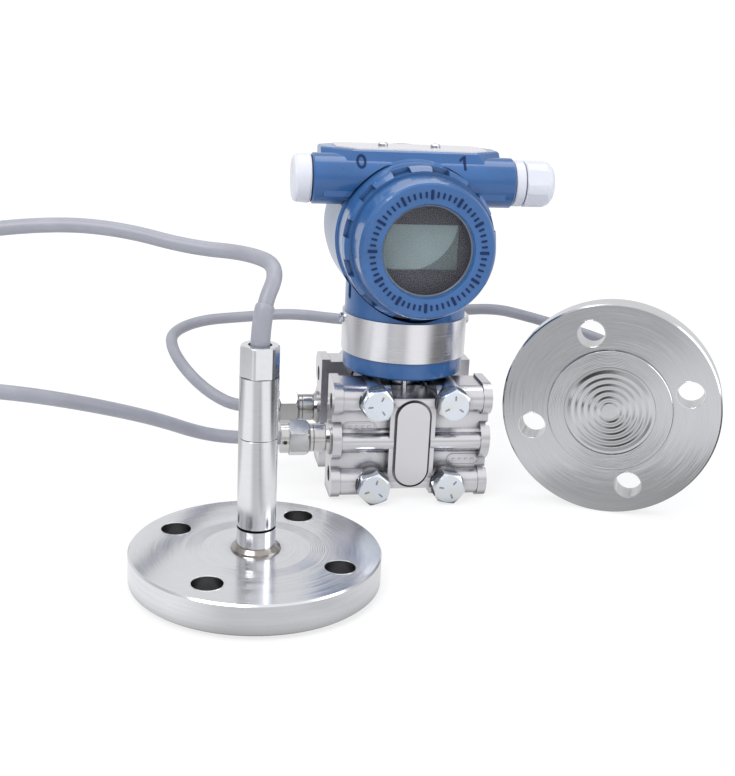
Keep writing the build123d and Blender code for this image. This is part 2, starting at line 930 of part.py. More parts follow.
# Display behind the window
bezel_front_y = window_back_y + 1.6
bezel_back_y = bezel_front_y + 1.2
board_front_y = bezel_back_y + 6.4
board_back_y = board_front_y + 1.6
display_x = -3.0
with BuildPart() as display_bezel:
    with BuildSketch(plane_y(0, bezel_front_y, barrel_z)):
        Circle(cavity_radius - 0.8)
        with Locations((0, display_x)):
            Rectangle(23.6, 43.0, mode=Mode.SUBTRACT)
    extrude(amount=bezel_back_y - bezel_front_y)
save(display_bezel.part, "display_bezel")
with BuildPart() as display_module:
    with BuildSketch(plane_y(display_x, bezel_back_y, barrel_z)):
        Rectangle(27, 46)
    extrude(amount=2.2)
    with BuildSketch(plane_y(display_x, bezel_back_y + 2.2, barrel_z)):
        Rectangle(30, 50)
    extrude(amount=1.2)
    with BuildSketch(plane_y(display_x, bezel_back_y + 3.4, barrel_z + 8)):
        Rectangle(5, 24)
    extrude(amount=board_front_y - bezel_back_y - 3.4)
save(display_module.part, "display_module")
post_sites = [(-19.5, -19.5), (-19.5, 19.5), (19.5, -19.5), (19.5, 19.5)]
with BuildPart() as display_standoffs:
    with BuildSketch(plane_y(0, bezel_back_y, barrel_z)):
        with Locations(*post_sites):
            Circle(2.2)
    extrude(amount=board_front_y - bezel_back_y)
save(display_standoffs.part, "display_standoffs")
with BuildPart() as electronics_board:
    with BuildSketch(plane_y(0, board_front_y, barrel_z)):
        Circle(cavity_radius - 3.4)
    extrude(amount=board_back_y - board_front_y)
    with BuildSketch(plane_y(-6, board_back_y, barrel_z + 2)):
        Rectangle(14, 14)
    extrude(amount=2.2)
    with BuildSketch(plane_y(12, board_back_y, barrel_z + 4)):
        Rectangle(6, 10)
    extrude(amount=1.8)
    with BuildSketch(plane_y(10, board_back_y, barrel_z - 9)):
        Circle(4)
    extrude(amount=7.0)
save(electronics_board.part, "electronics_board")
with BuildPart() as board_standoffs:
    with BuildSketch(plane_y(0, board_back_y, barrel_z)):
        with PolarLocations(26.5, 3):
            RegularPolygon(2.5, 6, major_radius=False)
    extrude(amount=2.0 - board_back_y)
save(board_standoffs.part, "board_standoffs")

# Rear cover and the terminals behind it
rear_skirt_front_y = barrel_rear_y + cover_gap
rear_lug_y = thread_end_rear + 1.1
rear_face_y = thread_end_rear + 8.3
rear_shell = turned_y(
    [
        (rear_skirt_front_y, bore_radius),
        (rear_skirt_front_y, cover_radius - 0.6),
        (rear_skirt_front_y + 0.6, cover_radius),
        (rear_lug_y + 0.4, cover_radius),
        (rear_lug_y + 0.4, cover_radius - 3.2),
        (rear_face_y - 1.3, cover_radius - 4.0),
        (rear_face_y, cover_radius - 5.4),
        (rear_face_y, 0),
        (rear_face_y - 3.5, 0),
        (rear_face_y - 3.5, cavity_radius),
        (thread_end_rear + 0.8, cavity_radius),
        (thread_end_rear + 0.8, bore_radius),
    ],
    0,
    barrel_z,
)
rear_lugs = notched_ring(
    [
        (rear_lug_y, cover_radius - 4.4),
        (rear_lug_y, cover_radius),
        (rear_lug_y + 3.3, cover_radius - 0.4),
        (rear_lug_y + 5.5, cover_radius - 2.0),
        (rear_lug_y + 5.5, cover_radius - 4.4),
    ],
    rear_lug_y + 5.4,
    10.2,
)
with BuildPart() as rear_cover:
    add(rear_shell)
    add(rear_lugs)
save(rear_cover.part, "rear_cover")
block_sites = (-14.0, 0.0, 14.0)
with BuildPart() as terminal_block:
    with BuildSketch(plane_y(0, 12.0, barrel_z)):
        Rectangle(20, 44)
    extrude(amount=8)
    for wall_x in (-21.0, -7.0, 7.0, 21.0):
        with BuildSketch(plane_y(wall_x, 20.0, barrel_z)):
            Rectangle(20, 1.6)
        extrude(amount=4)
    with BuildSketch(plane_y(0, 14.0, barrel_z)):
        with Locations((0, -14.0), (0, 0), (0, 14.0)):
            Circle(1.75 + pin_gap)
    extrude(amount=10, mode=Mode.SUBTRACT)
save(terminal_block.part, "terminal_block")
terminal_screw_list = []
for one_x in block_sites:
    terminal_screw_list.append(
        turned_y(
            [(14.0, 0), (14.0, 1.75), (20.0, 1.75), (20.0, 3.4), (22.0, 3.4), (22.6, 2.8), (22.6, 0)],
            one_x,
            barrel_z,
        )
    )
with BuildPart() as terminal_screws:
    add(terminal_screw_list)
save(terminal_screws.part, "terminal_screws")

# Blanking plug on the left entry
plug_thread = entry_radius - thread_gap
seal_washer = 0.8
plug_face_x = -boss_face_x - seal_washer
plug_end_x = plug_face_x - 9.2
plug_inner_x = -boss_face_x + 12.0
with BuildPart() as plug_cap:
    add(
        turned_x(
            [
                (plug_end_x, 0),
                (plug_end_x, boss_radius - 3.05),
                (plug_end_x + 0.7, boss_radius - 1.55),
                (plug_end_x + 2.0, boss_radius - 0.85),
                (plug_face_x - 1.0, boss_radius - 0.4),
                (plug_face_x, boss_radius - 0.75),
                (plug_face_x, plug_thread),
                (plug_inner_x - 0.8, plug_thread),
                (plug_inner_x, plug_thread - 0.8),
                (plug_inner_x, 6.6),
                (plug_face_x - 2.6, 6.6),
                (plug_face_x - 2.6, 0),
            ],
            0,
            boss_z,
        )
    )
save(plug_cap.part, "plug_cap")
with BuildPart() as plug_seal:
    add(
        turned_x(
            [
                (plug_face_x, plug_thread + 0.2),
                (plug_face_x, 12.2),
                (-boss_face_x, 12.2),
                (-boss_face_x, plug_thread + 0.2),
            ],
            0,
            boss_z,
        )
    )
save(plug_seal.part, "plug_seal")

# Cable gland on the right entry
gland_neck_radius = 8.6
gland_bore_radius = 6.9
gland_ring_x = boss_face_x + 0.6
gland_foot_x = boss_face_x - 10.6
gland_neck_x = gland_ring_x + 5.2
gland_seat_x = gland_ring_x + 6.8
gland_end_x = gland_ring_x + 14.8
with BuildPart() as gland_body:
    add(
        turned_x(
            [
                (gland_foot_x, 5.4),
                (gland_foot_x, plug_thread - 0.8),
                (gland_foot_x + 0.8, plug_thread),
                (gland_ring_x, plug_thread),
                (gland_ring_x, 12.1),
                (gland_ring_x + 0.5, 12.4),
                (gland_neck_x - 0.4, 12.4),
                (gland_neck_x, 12.0),
                (gland_neck_x, gland_neck_radius),
                (gland_end_x, gland_neck_radius),
                (gland_end_x, gland_bore_radius),
                (gland_seat_x, gland_bore_radius),
                (gland_seat_x, 5.4),
            ],
            0,
            boss_z,
        )
    )
save(gland_body.part, "gland_body")
with BuildPart() as gland_body_seal:
    add(
        turned_x(
            [
                (boss_face_x, plug_thread + 0.2),
                (boss_face_x, 12.0),
                (gland_ring_x, 12.0),
                (gland_ring_x, plug_thread + 0.2),
            ],
            0,
            boss_z,
        )
    )
save(gland_body_seal.part, "gland_body_seal")
with BuildPart() as gland_seal:
    add(
        turned_x(
            [
                (gland_seat_x, 3.6),
                (gland_seat_x, gland_bore_radius - seat_gap),
                (gland_end_x + 1.0, gland_bore_radius - seat_gap),
                (gland_end_x + 1.0, 3.6),
            ],
            0,
            boss_z,
        )
    )
save(gland_seal.part, "gland_seal")
cap_start_x = gland_neck_x + 0.8
cap_end_x = cap_start_x + 16.5
cap_shape = turned_x(
    [
        (cap_start_x, gland_neck_radius + thread_gap),
        (cap_start_x, 12.0),
        (cap_start_x + 0.6, 12.6),
        (cap_end_x - 5.1, 12.5),
        (cap_end_x - 2.5, 11.4),
        (cap_end_x - 0.7, 9.4),
        (cap_end_x, 7.4),
        (cap_end_x, 5.2),
        (cap_end_x - 2.1, 5.2),
        (gland_end_x + 1.6, gland_neck_radius + thread_gap),
    ],
    0,
    boss_z,
)
cap_hexagon = hexagon(plane_x(cap_start_x - 1, 0, boss_z), 23.8, cap_end_x - cap_start_x + 2, 8)
with BuildPart() as gland_nut:
    add(cap_shape & cap_hexagon)
save(gland_nut.part, "gland_nut")


# Remote seal pieces, drawn with the raised face on z 0 and the stem along Z
def seal_flange_shape():
    """Round flange with its raised face, diaphragm seat and bolt holes."""
    body = turned_z(
        [
            (1.5, 1.2),
            (diaphragm_seat_radius, 1.2),
            (diaphragm_seat_radius, 0),
            (raised_face_radius - 0.3, 0),
            (raised_face_radius, 0.3),
            (raised_face_radius, raised_face_height),
            (seal_radius - 0.8, raised_face_height),
            (seal_radius, raised_face_height + 0.8),
            (seal_radius, seal_plate_top - 0.8),
            (seal_radius - 0.8, seal_plate_top),
            (1.5, seal_plate_top),
        ],
        0,
        0,
    )
    with BuildPart() as made:
        add(body)
        with BuildSketch(Plane.XY):
            with PolarLocations(seal_bolt_circle / 2, 4):
                Circle(seal_hole_radius)
        extrude(amount=seal_plate_top + 1, mode=Mode.SUBTRACT)
    return made.part


def diaphragm_shape():
    """Thin disc with rings of waves, its rim flat on the seat."""
    under = 1.2 - diaphragm_thickness
    waves = [(0, 0.7), (4.2, 0.7), (7.4, 0.35), (10.6, 0.7), (13.8, 0.35), (17.0, 0.7), (20.2, 0.35), (22.2, under)]
    lower = [(radius, height) for radius, height in waves] + [(diaphragm_radius, under)]
    upper = [(radius, height + diaphragm_thickness) for radius, height in reversed(lower)]
    return turned_z(lower + upper, 0, 0)


def weld_collar_shape():
    """Weld ring round the foot of the stem."""
    return turned_z(
        [
            (stem_radius + seat_gap, seal_plate_top),
            (11.4, seal_plate_top),
            (11.2, seal_plate_top + 0.9),
            (9.6, seal_plate_top + 2.5),
            (stem_radius + seat_gap, seal_plate_top + 2.5),
        ],
        0,
        0,
    )


def stem_base_shape():
    """Foot of the stem, ending in a groove."""
    return turned_z(
        [
            (1.5, seal_plate_top),
            (stem_radius, seal_plate_top),
            (stem_radius, stem_groove),
            (stem_radius - 0.7, stem_groove),
            (stem_radius - 0.7, stem_groove + 0.8),
            (1.5, stem_groove + 0.8),
        ],
        0,
        0,
    )


def stem_tube_shape():
    """Middle of the stem."""
    return turned_z(
        [
            (1.5, stem_groove + 0.8),
            (stem_radius, stem_groove + 0.8),
            (stem_radius, stem_seam - 0.3),
            (stem_radius - 0.3, stem_seam),
            (1.5, stem_seam),
        ],
        0,
        0,
    )


def stem_head_shape():
    """Top of the stem, with flats for a wrench and a pocket for the capillary."""
    pocket_z = stem_top - stem_pocket_depth
    body = turned_z(
        [
            (1.5, stem_seam),
            (stem_radius - 0.3, stem_seam),
            (stem_radius, stem_seam + 0.3),
            (stem_radius, stem_top - 0.7),
            (stem_radius - 0.7, stem_top),
            (5.25, stem_top),
            (5.25, pocket_z),
            (1.5, pocket_z),
        ],
        0,
        0,
    )
    ring_plane = Plane.XY.offset(stem_hex_bottom)
    with BuildPart() as flats:
        with BuildSketch(ring_plane):
            Circle(stem_radius + 2)
            RegularPolygon(stem_flats / 2, 6, major_radius=False, rotation=12, mode=Mode.SUBTRACT)
        extrude(amount=stem_top - stem_hex_bottom + 1)
    with BuildPart() as made:
        add(body)
        add(flats.part, mode=Mode.SUBTRACT)
    return made.part


def sleeve_shape():
    """Short sleeve on the capillary where it leaves the stem."""
    pocket_z = stem_top - stem_pocket_depth
    inner = cord_diameter / 2 + seat_gap
    return turned_z(
        [
            (inner, pocket_z),
            (inner + 0.75, pocket_z),
            (inner + 0.75, pocket_z + 9.4),
            (inner + 0.35, pocket_z + 10),
            (inner, pocket_z + 10),
        ],
        0,
        0,
    )


heading = math.radians(right_seal_heading)
stem_way = (math.sin(heading), math.cos(heading), 0)
right_origin = (
    right_face_x - raised_face_height * stem_way[0],
    right_face_y - raised_face_height * stem_way[1],
    seal_radius,
)
left_pose = Location((left_seal_x, left_seal_y, 0), (0, 0, left_seal_turn))
right_plane = Plane(origin=right_origin, x_dir=(0, 0, 1), z_dir=stem_way)
right_pose = right_plane.location * Location((0, 0, 0), (0, 0, right_seal_turn))
seal_shapes = [
    ("seal_flange", seal_flange_shape()),
    ("diaphragm", diaphragm_shape()),
    ("weld_collar", weld_collar_shape()),
    ("stem_base", stem_base_shape()),
    ("stem_tube", stem_tube_shape()),
    ("stem_head", stem_head_shape()),
    ("capillary_sleeve", sleeve_shape()),
]
for side, pose in (("left", left_pose), ("right", right_pose)):
    for name, shape in seal_shapes:
        with BuildPart() as seal_piece:
            add(shape.moved(pose))
        save(seal_piece.part, side + "_" + name)

# Capillaries, each a tube along its route
pocket_height = stem_top - stem_pocket_depth
right_reach = pocket_height - raised_face_height
right_exit = (
    right_face_x + right_reach * stem_way[0],
    right_face_y + right_reach * stem_way[1],
    seal_radius,
)
right_run = 25.0
right_run_end = (
    right_exit[0] + right_run * stem_way[0],
    right_exit[1] + right_run * stem_way[1],
    seal_radius,
)
route_one = [
    (left_seal_x, left_seal_y, pocket_height),
    (left_seal_x, left_seal_y, pocket_height + 19.0),
    (-81.5, -119.0, 143.5),
    (-93.0, -94.0, 145.0),
    (-119.7, -80.0, 144.6),
    (-150.7, -70.0, 150.9),
    (-182.5, -61.3, 151.6),
    (-228.5, -57.5, 145.5),
    (-251.0, -69.5, 127.4),
    (-250.5, -85.7, 100.4),
    (-228.5, -97.2, 82.6),
    (-196.5, -96.0, 79.4),
    (-165.2, -82.0, 69.3),
    (-135.6, -57.0, 53.9),
    (-112.4, -34.0, 37.9),
    (-91.5, -port_y, port_z),
    (fitting_end_x, -port_y, port_z),
]
route_two = [
    (fitting_end_x, port_y, port_z),
    (-88.5, port_y, port_z),
    (-104.5, 34.5, 38.6),
    (-117.6, 52.5, 46.4),
    (-126.4, 77.0, 54.1),
    (-126.4, 104.0, 57.8),
    (-107.6, 125.0, 60.7),
    (-78.0, 130.5, 61.8),
    (-48.9, 122.0, 66.4),
    (-14.8, 116.0, 63.5),
    (24.3, 112.0, 63.4),
    (57.2, 109.0, 72.4),
    (82.9, 107.0, 74.1),
    (103.5, 110.0, 69.0),
    (131.0, 103.5, 62.5),
    (151.5, 85.5, 58.5),
    right_run_end,
    right_exit,
]


def bend_radii(points):
    """Radius of every bend: the largest that leaves a tenth of each run straight."""
    radii = []
    for before, here, after in zip(points, points[1:], points[2:]):
        come = Vector(*here) - Vector(*before)
        go = Vector(*after) - Vector(*here)
        turn = math.radians(come.get_angle(go))
        radii.append(0.45 * min(come.length, go.length) / math.tan(turn / 2))
    return radii


for name, route in (("capillary_one", route_one), ("capillary_two", route_two)):
    radii = bend_radii(route)
    with BuildPart() as capillary:
        with BuildLine() as path:
            FilletPolyline(*route, radius=radii)
        centre_line = path.wires()[0]
        start = Plane(origin=centre_line @ 0, z_dir=centre_line % 0)
        with BuildSketch(start):
            Circle(cord_diameter / 2)
        sweep(path=centre_line)
    expected = math.pi * cord_diameter**2 / 4 * centre_line.length
    print("length", round(centre_line.length, 1), "volume ratio", round(capillary.part.volume / expected, 4))
    print("bend radii", [round(radius, 1) for radius in radii])
    save(capillary.part, name)
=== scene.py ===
import math

import bpy
from mathutils import Matrix, Vector


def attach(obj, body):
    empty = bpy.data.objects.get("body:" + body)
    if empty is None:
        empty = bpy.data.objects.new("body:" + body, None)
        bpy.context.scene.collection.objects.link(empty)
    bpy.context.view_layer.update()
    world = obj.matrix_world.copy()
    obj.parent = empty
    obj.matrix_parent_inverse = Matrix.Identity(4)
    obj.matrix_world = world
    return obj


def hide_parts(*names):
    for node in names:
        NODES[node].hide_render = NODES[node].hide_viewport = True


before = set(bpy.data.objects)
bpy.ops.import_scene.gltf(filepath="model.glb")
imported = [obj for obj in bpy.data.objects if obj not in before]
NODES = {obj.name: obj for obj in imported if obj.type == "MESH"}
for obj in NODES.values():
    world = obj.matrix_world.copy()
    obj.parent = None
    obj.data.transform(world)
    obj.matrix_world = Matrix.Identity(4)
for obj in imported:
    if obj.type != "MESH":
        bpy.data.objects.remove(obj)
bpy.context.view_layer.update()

bl_info = {
    "name": "Pressure transmitter with remote seals",
    "version": (1, 0, 0),
    "blender": (4, 5, 0),
    "location": "View3D > Sidebar > Transmitter",
    "description": "Finishes, small pieces and stage of a pressure transmitter",
    "category": "Object",
}

# The turning axis of the head, in metres, with the centre of the left seal's face as origin
AXIS_X = 0.0907
AXIS_Y = 0.1319

# Right seal: heading of its stem, centre of its flange face and length of the stem in millimetres,
# the centre from the foot of the turning axis. Height of the raised face of both seals in metres
RIGHT_HEADING = math.radians(25.1)
STEM_WAY = Vector((math.sin(RIGHT_HEADING), math.cos(RIGHT_HEADING), 0.0))
RIGHT_PLATE = Vector((101.6, -59.6, 57.5))
STEM_LENGTH = 106.0
RAISED_FACE = 0.002

# From here to the shadow on the screen, lengths are millimetres and places count from the foot of
# the turning axis.
# Heights of the barrel, the cable entries and the ports, and the ports' distance from the middle
BARREL_Z = 139.1
ENTRY_Z = 168.5
PORT_Z = 32.65
PORT_Y = 27.0

# Front of the cover, radius of its ring of ticks, front of the window, and the window rim in metres
COVER_FACE = -51.8
TICK_RING = 28.9
WINDOW_FRONT = -48.0
WINDOW_RIM = [(0.0227, 0.0), (0.0227, 0.0006), (0.0232, 0.0009), (0.0241, 0.0009), (0.0241, 0.0)]

# Front face of the top block: height of its upper edge, how far that edge lies in front of the
# middle, how much the face comes forward, and over what fall. Radius of the entry bosses
BLOCK_TOP = 184.5
BLOCK_FRONT = 6.0
BLOCK_LEAN = 6.5
BLOCK_FALL = 14.5
BOSS_RADIUS = 13.45

# Numbers on the block: middle of the nought with its outer and inner size, then middle, height,
# width and length of each short stroke of the one, from its foot up and down its flag
NOUGHT_PLACE = (-29.4, 0, 178.9)
NOUGHT_SIZES = ((5.4, 7.0), (2.8, 4.4))
ONE_POST = [(26.3, 176.4 + k, 1.4, 1.02) for k in range(7)]
ONE_FLAG = [(25.3 - k * 0.65, 181.9 - k * 0.6, 0.9, 1.2) for k in range(3)]

# Tops of the plate screws with the middle and the turn of their slots in degrees, and the band
# screws' heads and height
PLATE_SCREW_TOP = 187.1
PLATE_SCREWS = ((-14.5, 12.0, 20.0), (14.5, 12.0, 75.0))
BAND_SCREW_HEAD = 36.35
BAND_Z = 93.0

# Front flange: its face, then middle, height, length and width of its two framed fields, and middle
# and height of the strokes below the second
FLANGE_FACE = -33.0
FLANGE_FIELDS = ((-28.0, 40.5, 18.0, 5.6), (30.2, 21.3, 18.0, 6.6))
FLANGE_STROKES = ((30.2, 16.7), (30.2, 14.7))

# Bolt heads: their face, then the middle, height and turn in degrees of the dashes on each
BOLT_FACE = -47.0
BOLT_HEADS = ((-20.45, 9.25, 12.0), (20.45, 9.25, 40.0), (-20.45, 56.05, 24.0), (20.45, 56.05, 3.0))

# Centre of the round shadow on the screen
SHADOW_CENTRE = (-9.31, -37.4, 153.84)

# Seal flanges: back of the left one and circle of the bolt holes in metres, outer and inner width of
# the holes' edges in millimetres, and turn of the first hole in degrees
LEFT_BACK = 0.0164
HOLE_CIRCLE = 0.0425
HOLE_WIDTHS = (15.0, 14.1)
LEFT_HOLE_TURN = 56.7
RIGHT_HOLE_TURN = 18.7

# Painted shade in the grooves of the stems: height above the face and width in metres, and depth of
# tone
STEM_GROOVE_SHADES = ((0.0276, 0.0012, 1.0), (0.070, 0.0004, 0.5), (0.098, 0.0004, 0.4))

# Diaphragm skin, in metres: radius, level of its flat parts, start, end and pitch of its waves, rise
# and width of its rim
SKIN_RADIUS = 0.0237
SKIN_LEVEL = 0.00055
SKIN_STEPS = 120
WAVES_START = 0.0042
WAVES_END = 0.0212
WAVE_PITCH = 0.0034
RIM_RISE = 0.00035
RIM_WIDTH = 0.0012

# Sleeves, in metres: length, end of the straight part at the stem, steps of the bent part
SLEEVE_LENGTH = 0.0215
SLEEVE_START = 0.004
SLEEVE_STEPS = 12

# Camera: place in millimetres from the foot of the turning axis, and its three angles in degrees
CAMERA_PLACE = (-133.54, -633.84, 244.08)
CAMERA_TURN = -10.27
CAMERA_RISE = 16.58
CAMERA_ROLL = 2.79

# Floor, in metres: middle of the object on it, the point from which it shows the studio, half its
# width, and its place below the object. Strength of its white
FLOOR_MIDDLE = (0.09, 0.07, 0.0)
STUDIO_MIDDLE = (0.10, 0.13, 0.06)
FLOOR_HALF = 3
FLOOR_DROP = 0.00005
FLOOR_WHITE = 1.05


def here(x, y, z):
    """Point given in millimetres from the foot of the turning axis."""
    return Vector((x / 1000 + AXIS_X, y / 1000 + AXIS_Y, z / 1000))


LEFT_FACE = here(-90.7, -131.9, 0.0)
RIGHT_FACE = here(*RIGHT_PLATE) - STEM_WAY * RAISED_FACE

# Control points of the capillaries, in millimetres from the foot of the turning axis
ROUTE_ONE = [
    (-90.7, -131.9, 108.0), (-90.7, -131.9, 127.0), (-81.5, -119.0, 143.5), (-93.0, -94.0, 145.0),
    (-119.7, -80.0, 144.6), (-150.7, -70.0, 150.9), (-182.5, -61.3, 151.6), (-228.5, -57.5, 145.5),
    (-251.0, -69.5, 127.4), (-250.5, -85.7, 100.4), (-228.5, -97.2, 82.6), (-196.5, -96.0, 79.4),
    (-165.2, -82.0, 69.3), (-135.6, -57.0, 53.9), (-112.4, -34.0, 37.9), (-91.5, -PORT_Y, PORT_Z),
    (-70.4, -PORT_Y, PORT_Z),
]
RIGHT_EXIT = RIGHT_PLATE + STEM_WAY * STEM_LENGTH
ROUTE_TWO = [
    (-70.4, PORT_Y, PORT_Z), (-88.5, PORT_Y, PORT_Z), (-104.5, 34.5, 38.6), (-117.6, 52.5, 46.4),
    (-126.4, 77.0, 54.1), (-126.4, 104.0, 57.8), (-107.6, 125.0, 60.7), (-78.0, 130.5, 61.8),
    (-48.9, 122.0, 66.4), (-14.8, 116.0, 63.5), (24.3, 112.0, 63.4), (57.2, 109.0, 72.4),
    (82.9, 107.0, 74.1), (103.5, 110.0, 69.0), (131.0, 103.5, 62.5), (151.5, 85.5, 58.5),
    tuple(RIGHT_EXIT + STEM_WAY * 25.0), tuple(RIGHT_EXIT),
]

# Raised marks, in metres: depth of their foot below the surface, rounding of their edges, and how far
# the dark screw slots, a painted shadow, and the polished edges of the bolt holes stand out
MARK_ROOT = 0.00005
MARK_ROUNDING = 0.00008
SLOT_HEIGHT = 0.00006
EDGE_HEIGHT = 0.00012

# Brightness that metal and glass show all round, and the least that they show anywhere
STUDIO_LEVEL = 0.62
STUDIO_LEAST = 0.03

# Soft boxes and dark gaps in the studio: azimuth to the right of the front, height, reach at full and
# at no strength, all in degrees, and gain
STUDIO = (
    (-57, -14, 10, 26, 0.4), (11, -18, 14, 26, 0.4), (95, -5, 10, 22, 0.4), (30, 50, 20, 40, 0.4),
    (180, 12, 35, 70, 0.25), (0, 90, 20, 50, 0.3), (55, -16, 8, 22, -0.5), (-56, 14, 8, 20, -0.6),
    (36, -24, 6, 16, -0.6), (-40, 12, 8, 20, -0.55), (-100, 5, 6, 20, -0.4), (150, 45, 10, 30, -0.35),
    (-9, -14, 3, 10, -0.25),
)


class Value:
    """A number on a shader socket, with the usual operators."""

    def __init__(self, tree, socket):
        self.tree = tree
        self.socket = socket

    def math(self, operation, *others, last=False):
        """A Math node on this value and others, with this one last where that is asked for."""
        node = self.tree.nodes.new("ShaderNodeMath")
        node.operation = operation
        items = others + (self,) if last else (self,) + others
        for socket, item in zip(node.inputs, items):
            if isinstance(item, Value):
                self.tree.links.new(item.socket, socket)
            else:
                socket.default_value = item
        return Value(self.tree, node.outputs[0])

    def __add__(self, other):
        return self.math("ADD", other)

    def __radd__(self, other):
        return self.math("ADD", other)

    def __sub__(self, other):
        return self.math("SUBTRACT", other)

    def __rsub__(self, other):
        return self.math("SUBTRACT", other, last=True)

    def __mul__(self, other):
        return self.math("MULTIPLY", other)

    def __rmul__(self, other):
        return self.math("MULTIPLY", other)

    def __pow__(self, other):
        return self.math("POWER", other)

    def __gt__(self, other):
        return self.math("GREATER_THAN", other)

    def __lt__(self, other):
        return self.math("LESS_THAN", other)

    def __abs__(self):
        return self.math("ABSOLUTE")

    def step(self, start, end):
        """0 at start, 1 at end, smooth between."""
        node = self.tree.nodes.new("ShaderNodeMapRange")
        node.interpolation_type = "SMOOTHSTEP"
        self.tree.links.new(self.socket, node.inputs["Value"])
        node.inputs["From Min"].default_value = start
        node.inputs["From Max"].default_value = end
        return Value(self.tree, node.outputs["Result"])


def opaque(colour):
    """A colour with full alpha, or the link that it comes from."""
    return colour if hasattr(colour, "is_output") else tuple(colour) + (1.0,)


class Graph:
    """Makes the nodes of one tree."""

    def __init__(self, tree):
        self.tree = tree

    def feed(self, socket, value):
        """Puts a constant on a socket, or a link into it."""
        if isinstance(value, Value):
            self.tree.links.new(value.socket, socket)
        elif hasattr(value, "is_output"):
            self.tree.links.new(value, socket)
        else:
            socket.default_value = value

    def node(self, kind, settings=None, **sockets):
        """Any node: its settings first, then its sockets by name, or i and their number."""
        node = self.tree.nodes.new(kind)
        for key, value in (settings or {}).items():
            setattr(node, key, value)
        for key, value in sockets.items():
            numbered = key[0] == "i" and key[1:].isdigit()
            self.feed(node.inputs[int(key[1:]) if numbered else key], value)
        return node

    def vector(self, operation, *items):
        """Vector Math on two vectors, giving its value for lengths and products."""
        sockets = {"i%d" % index: item for index, item in enumerate(items)}
        node = self.node("ShaderNodeVectorMath", {"operation": operation}, **sockets)
        if operation in ("DOT_PRODUCT", "LENGTH"):
            return Value(self.tree, node.outputs["Value"])
        return node.outputs["Vector"]

    def place(self):
        """Position on the piece, in metres, as a vector socket."""
        return self.node("ShaderNodeTexCoord").outputs["Object"]

    def scaled(self, item, amount):
        """A vector times a number."""
        node = self.node("ShaderNodeVectorMath", {"operation": "SCALE"}, i0=item, Scale=amount)
        return node.outputs["Vector"]

    def blend(self, amount, first, second):
        """A shader between two shaders."""
        return self.node("ShaderNodeMixShader", None, i0=amount, i1=first, i2=second).outputs[0]

    def noise(self, scale, detail=3.0, rough=0.5, at=None, stretch=None):
        """Cloudy value between 0 and 1."""
        spot = self.place() if at is None else at
        if stretch:
            spot = self.vector("MULTIPLY", spot, stretch)
        node = self.node(
            "ShaderNodeTexNoise", None, Vector=spot, Scale=scale, Detail=detail, Roughness=rough)
        return Value(self.tree, node.outputs["Fac"])

    def mix(self, amount, first, second):
        """Colour between two colours."""
        node = self.node(
            "ShaderNodeMix", {"data_type": "RGBA"}, i0=amount, i6=opaque(first), i7=opaque(second))
        return node.outputs[2]

    def rays(self):
        """Whether a ray comes from the camera or through glass, and whether it is a glossy one."""
        path = self.node("ShaderNodeLightPath").outputs
        camera = Value(self.tree, path["Is Camera Ray"])
        through = Value(self.tree, path["Is Transmission Ray"])
        return camera.math("MAXIMUM", through), Value(self.tree, path["Is Glossy Ray"])

    def studio(self, way):
        """Brightness of the studio in a direction: soft boxes and dark gaps between them."""
        total = STUDIO_LEVEL
        for *angles, gain in STUDIO:
            across, up, full, none = (math.radians(angle) for angle in angles)
            axis = (math.sin(across) * math.cos(up), -math.cos(across) * math.cos(up), math.sin(up))
            lobe = self.vector("DOT_PRODUCT", way, axis).step(math.cos(none), math.cos(full))
            total = lobe * gain + total
        return total.math("MAXIMUM", STUDIO_LEAST).math("MINIMUM", 1.0)


class Finish(Graph):
    """One material and the nodes that make it."""

    def __init__(self, name, colour, roughness, metallic=0.0, **extra):
        self.material = bpy.data.materials.new(name)
        self.material.use_nodes = True
        super().__init__(self.material.node_tree)
        self.shader = self.tree.nodes["Principled BSDF"]
        self.set("Base Color", opaque(colour))
        self.set("Roughness", roughness)
        self.set("Metallic", metallic)
        for key, value in extra.items():
            self.set(key.replace("_", " ").title().replace("Ior", "IOR"), value)

    def set(self, name, value):
        """Puts a constant on, or a link into, a socket of the shader."""
        self.feed(self.shader.inputs[name], value)

    def bump(self, height, distance, strength=1.0, under=None):
        """Fine relief that feeds the shader's normal."""
        sockets = {"Height": height, "Distance": distance, "Strength": strength}
        if under is not None:
            sockets["Normal"] = under
        node = self.node("ShaderNodeBump", None, **sockets)
        self.set("Normal", node.outputs["Normal"])
        return node.outputs["Normal"]

    def around(self, centre, axis):
        """Radius, angle and height about an axis, in metres and radians."""
        axis = Vector(axis).normalized()
        first = axis.orthogonal().normalized()
        second = axis.cross(first)
        spot = self.vector("SUBTRACT", self.place(), tuple(centre))
        along = self.vector("DOT_PRODUCT", spot, tuple(axis))
        a = self.vector("DOT_PRODUCT", spot, tuple(first))
        b = self.vector("DOT_PRODUCT", spot, tuple(second))
        radius = (a * a + b * b) ** 0.5
        return radius, b.math("ARCTAN2", a), along

    def edges(self, reach=0.0015):
        """Ambient occlusion, the mask for painted shade: 0 in corners and crevices, 1 in the open."""
        node = self.node("ShaderNodeAmbientOcclusion", {"samples": 16}, Distance=reach)
        return Value(self.tree, node.outputs["AO"])


def linear(text):
    """Linear colour from a hexadecimal one."""
    parts = [int(text[i:i + 2], 16) / 255 for i in (0, 2, 4)]
    return tuple(p / 12.92 if p <= 0.04045 else ((p + 0.055) / 1.055) ** 2.4 for p in parts)


def colour_setting(name, text, note):
    """A colour that the user may change."""
    return bpy.props.FloatVectorProperty(
        name=name, description=note, default=linear(text), size=3, min=0.0, max=1.0, subtype="COLOR")


def length_setting(name, millimetres, note):
    """A length that the user may change."""
    return bpy.props.FloatProperty(
        name=name, description=note, default=millimetres / 1000, min=0.0, unit="LENGTH", precision=5)


